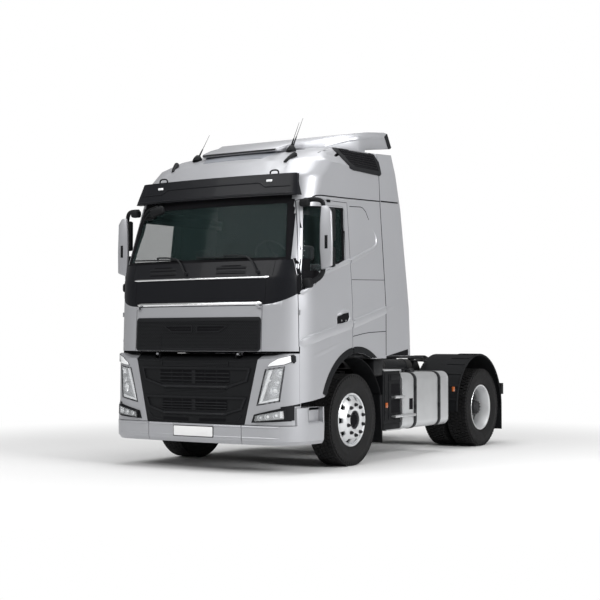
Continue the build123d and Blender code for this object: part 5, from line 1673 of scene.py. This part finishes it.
bunkLow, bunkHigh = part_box("bunk")
body = bodyOf("bunk")
bm = bmesh.new()
addBox(bm, bunkLow, Vector((bunkHigh.x, bunkHigh.y, bunkHigh.z - 0.15)), 0.014, 3)
for x in (-0.55, 0.0, 0.55):
    addBox(bm, Vector((x - 0.24, bunkLow.y - 0.004, bunkLow.z + 0.06)),
        Vector((x + 0.24, bunkLow.y + 0.006, bunkHigh.z - 0.2)), 0.004)
finishPiece("bunkBase", bm, trimPlastic, body)
low = Vector((bunkLow.x + 0.01, bunkLow.y + 0.004, bunkHigh.z - 0.152))
bm = puffed(padBox(low, bunkHigh - Vector((0.01, 0.01, 0)), 0.04), padding["bunkVoxel"])
sewn(bm, lambda p: min(abs((p.x + 0.27) % 0.54 - 0.27), 9), 0.006, 0.011)
mattress = finishPiece("bunkMattress", bm, seatCloth, body, ["bunk"], 180)
bm = bmesh.new()
for z in (bunkHigh.z - 0.135, bunkHigh.z - 0.022):
    outline = roundedRect(low.x + 0.012, bunkHigh.x - 0.022, low.y + 0.012, bunkHigh.y - 0.022, 0.04, 5)
    points = [Vector((x, y, z)) for x, y in outline]
    addTube(bm, points + points[:1], 0.005, 8)
finishPiece("bunkPiping", bm, trimPlastic, body)

dashY = -0.86
body = bodyOf("dashboard")
bm = bmesh.new()
addBox(bm, at(0.4, -0.93, 2.06), at(0.8, dashY + 0.012, 2.176), 0.02, 3)
addBox(bm, at(-0.12, -0.9, 1.72), at(0.26, dashY + 0.014, 2.15), 0.016, 3)
for x0, x1 in ((-0.1, 0.06), (0.09, 0.24)):
    addBox(bm, at(x0, dashY, 2.06), at(x1, dashY + 0.022, 2.13), 0.006)
    for z in (2.075, 2.09, 2.105):
        addBox(bm, at(x0 + 0.008, dashY + 0.016, z), at(x1 - 0.008, dashY + 0.028, z + 0.005), 0.001, 1)
for row in range(3):
    for column in range(6):
        x, z = -0.088 + column * 0.056, 1.78 + row * 0.045
        addBox(bm, at(x, dashY + 0.008, z), at(x + 0.044, dashY + 0.02, z + 0.032), 0.004, 1)
addBox(bm, at(-0.92, dashY - 0.004, 1.86), at(-0.36, dashY + 0.01, 2.08), 0.012, 3)
addRod(bm, at(0.6, -0.9, 2.1), at(0.6, -0.78, 2.22), 0.05, 24, 0.04, 0.006)
for x in (-0.14, 0.14):
    addRod(bm, at(0.6, -0.83, 2.17), at(0.6 + x, -0.8, 2.2), 0.008, 10, 0.006)
finishPiece("dashFittings", bm, trimPlastic, body)
bm = bmesh.new()
addBox(bm, at(-0.08, dashY + 0.008, 1.93), at(0.22, dashY + 0.018, 2.04), 0.006)
addBox(bm, at(0.43, dashY + 0.006, 2.075), at(0.77, dashY + 0.015, 2.165), 0.006)
finishPiece("dashScreens", bm, anthracite, body)
bm = bmesh.new()
for x in (0.5, 0.7):
    ring = Matrix.Translation(at(x, dashY + 0.015, 2.12)) @ Matrix.Rotation(math.radians(-90), 4, "X")
    addTurned(bm, [(0.04, 0.0), (0.04, 0.004), (0.036, 0.005), (0.036, 0.0)], ring, 32, closed=True)
    addBox(bm, at(x - 0.001, dashY + 0.015, 2.12), at(x + 0.001, dashY + 0.018, 2.15), 0.0, 1)
finishPiece("dashDials", bm, chrome, body)
print("cab interior made")

cameraSetup = {
    "lens": 77.313,
    "place": (8.369, -13.7195, 1.373),
    "azimuth": 32.554,
    "elevation": -1.844,
    "roll": 0.014,
}


def placeCamera(setup):
    data = bpy.data.cameras.new("camera")
    data.lens = setup["lens"]
    data.sensor_width = 36
    data.clip_end = 200
    camera = linked("camera", data)
    turn = Matrix.Rotation(math.radians(setup["azimuth"]), 4, "Z")
    tip = Matrix.Rotation(math.radians(90 - setup["elevation"]), 4, "X")
    roll = Matrix.Rotation(math.radians(setup["roll"]), 4, "Z")
    camera.matrix_world = Matrix.Translation(setup["place"]) @ turn @ tip @ roll
    bpy.context.scene.camera = camera


def makeWorld(strength):
    world = bpy.data.worlds.new("studio")
    bpy.context.scene.world = world
    world.use_nodes = True
    tree = world.node_tree
    rays = tree.nodes.new("ShaderNodeLightPath")
    seen = tree.nodes.new("ShaderNodeMath")
    seen.operation = "MAXIMUM"
    tree.links.new(rays.outputs["Is Camera Ray"], seen.inputs[0])
    tree.links.new(rays.outputs["Is Transmission Ray"], seen.inputs[1])
    level = tree.nodes.new("ShaderNodeMapRange")
    level.inputs["To Min"].default_value = strength
    level.inputs["To Max"].default_value = 1.0
    tree.links.new(seen.outputs[0], level.inputs["Value"])
    background = tree.nodes["Background"]
    background.inputs["Color"].default_value = (1, 1, 1, 1)
    tree.links.new(level.outputs[0], background.inputs["Strength"])


def addPanelLight(name, place, target, size, power):
    data = bpy.data.lights.new(name, "AREA")
    data.shape = "RECTANGLE"
    data.size, data.size_y = size
    data.energy = power
    lamp = linked(name, data)
    way = Vector(target) - Vector(place)
    lamp.matrix_world = Matrix.Translation(place) @ way.to_track_quat("-Z", "Y").to_matrix().to_4x4()


placeCamera(cameraSetup)
makeWorld(0.3)
addPanelLight("keyPanel", (-4, -13, 11), (0, -1, 2), (10, 7), 1250)
addPanelLight("sidePanel", (14.5, -3, 8), (1, 0, 2), (8, 6), 2100)
addPanelLight("topPanel", (0, 0, 12), (0, 0, 2), (8, 10), 900)

floor = bmesh.new()
bmesh.ops.create_grid(floor, x_segments=1, y_segments=1, size=60)
floorMesh = meshFrom(floor, "floor")
floorPiece = linked("floor", floorMesh)


def makeFloor(color, near, far):  # takes the shadow near the vehicle and is plain white further out
    made = Finish("floorPaint", 0.9)
    made.set({"Base Color": color})
    x, y, z = made.axes()
    distance = (x * x + y * y) ** 0.5
    seen = made.node("LightPath", {}, {}, "Is Camera Ray")
    spread = made.node("MapRange", {"interpolation_type": "SMOOTHSTEP"},
        {"Value": distance, "From Min": near, "From Max": far})
    white = made.node("Emission", {}, {"Color": (1, 1, 1, 1), "Strength": 1.0})
    paint = Wire(made, made.shader.outputs[0])
    mixed = made.node("MixShader", {}, {0: spread * seen, 1: paint, 2: white})
    made.tree.links.new(mixed.socket, made.tree.nodes["Material Output"].inputs["Surface"])
    return made.material


floorMaterial = makeFloor((0.72, 0.72, 0.72, 1), 3.2, 7.5)
floorMesh.materials.append(floorMaterial)

bpy.context.scene.view_settings.view_transform = "Standard"
print("scene ready")
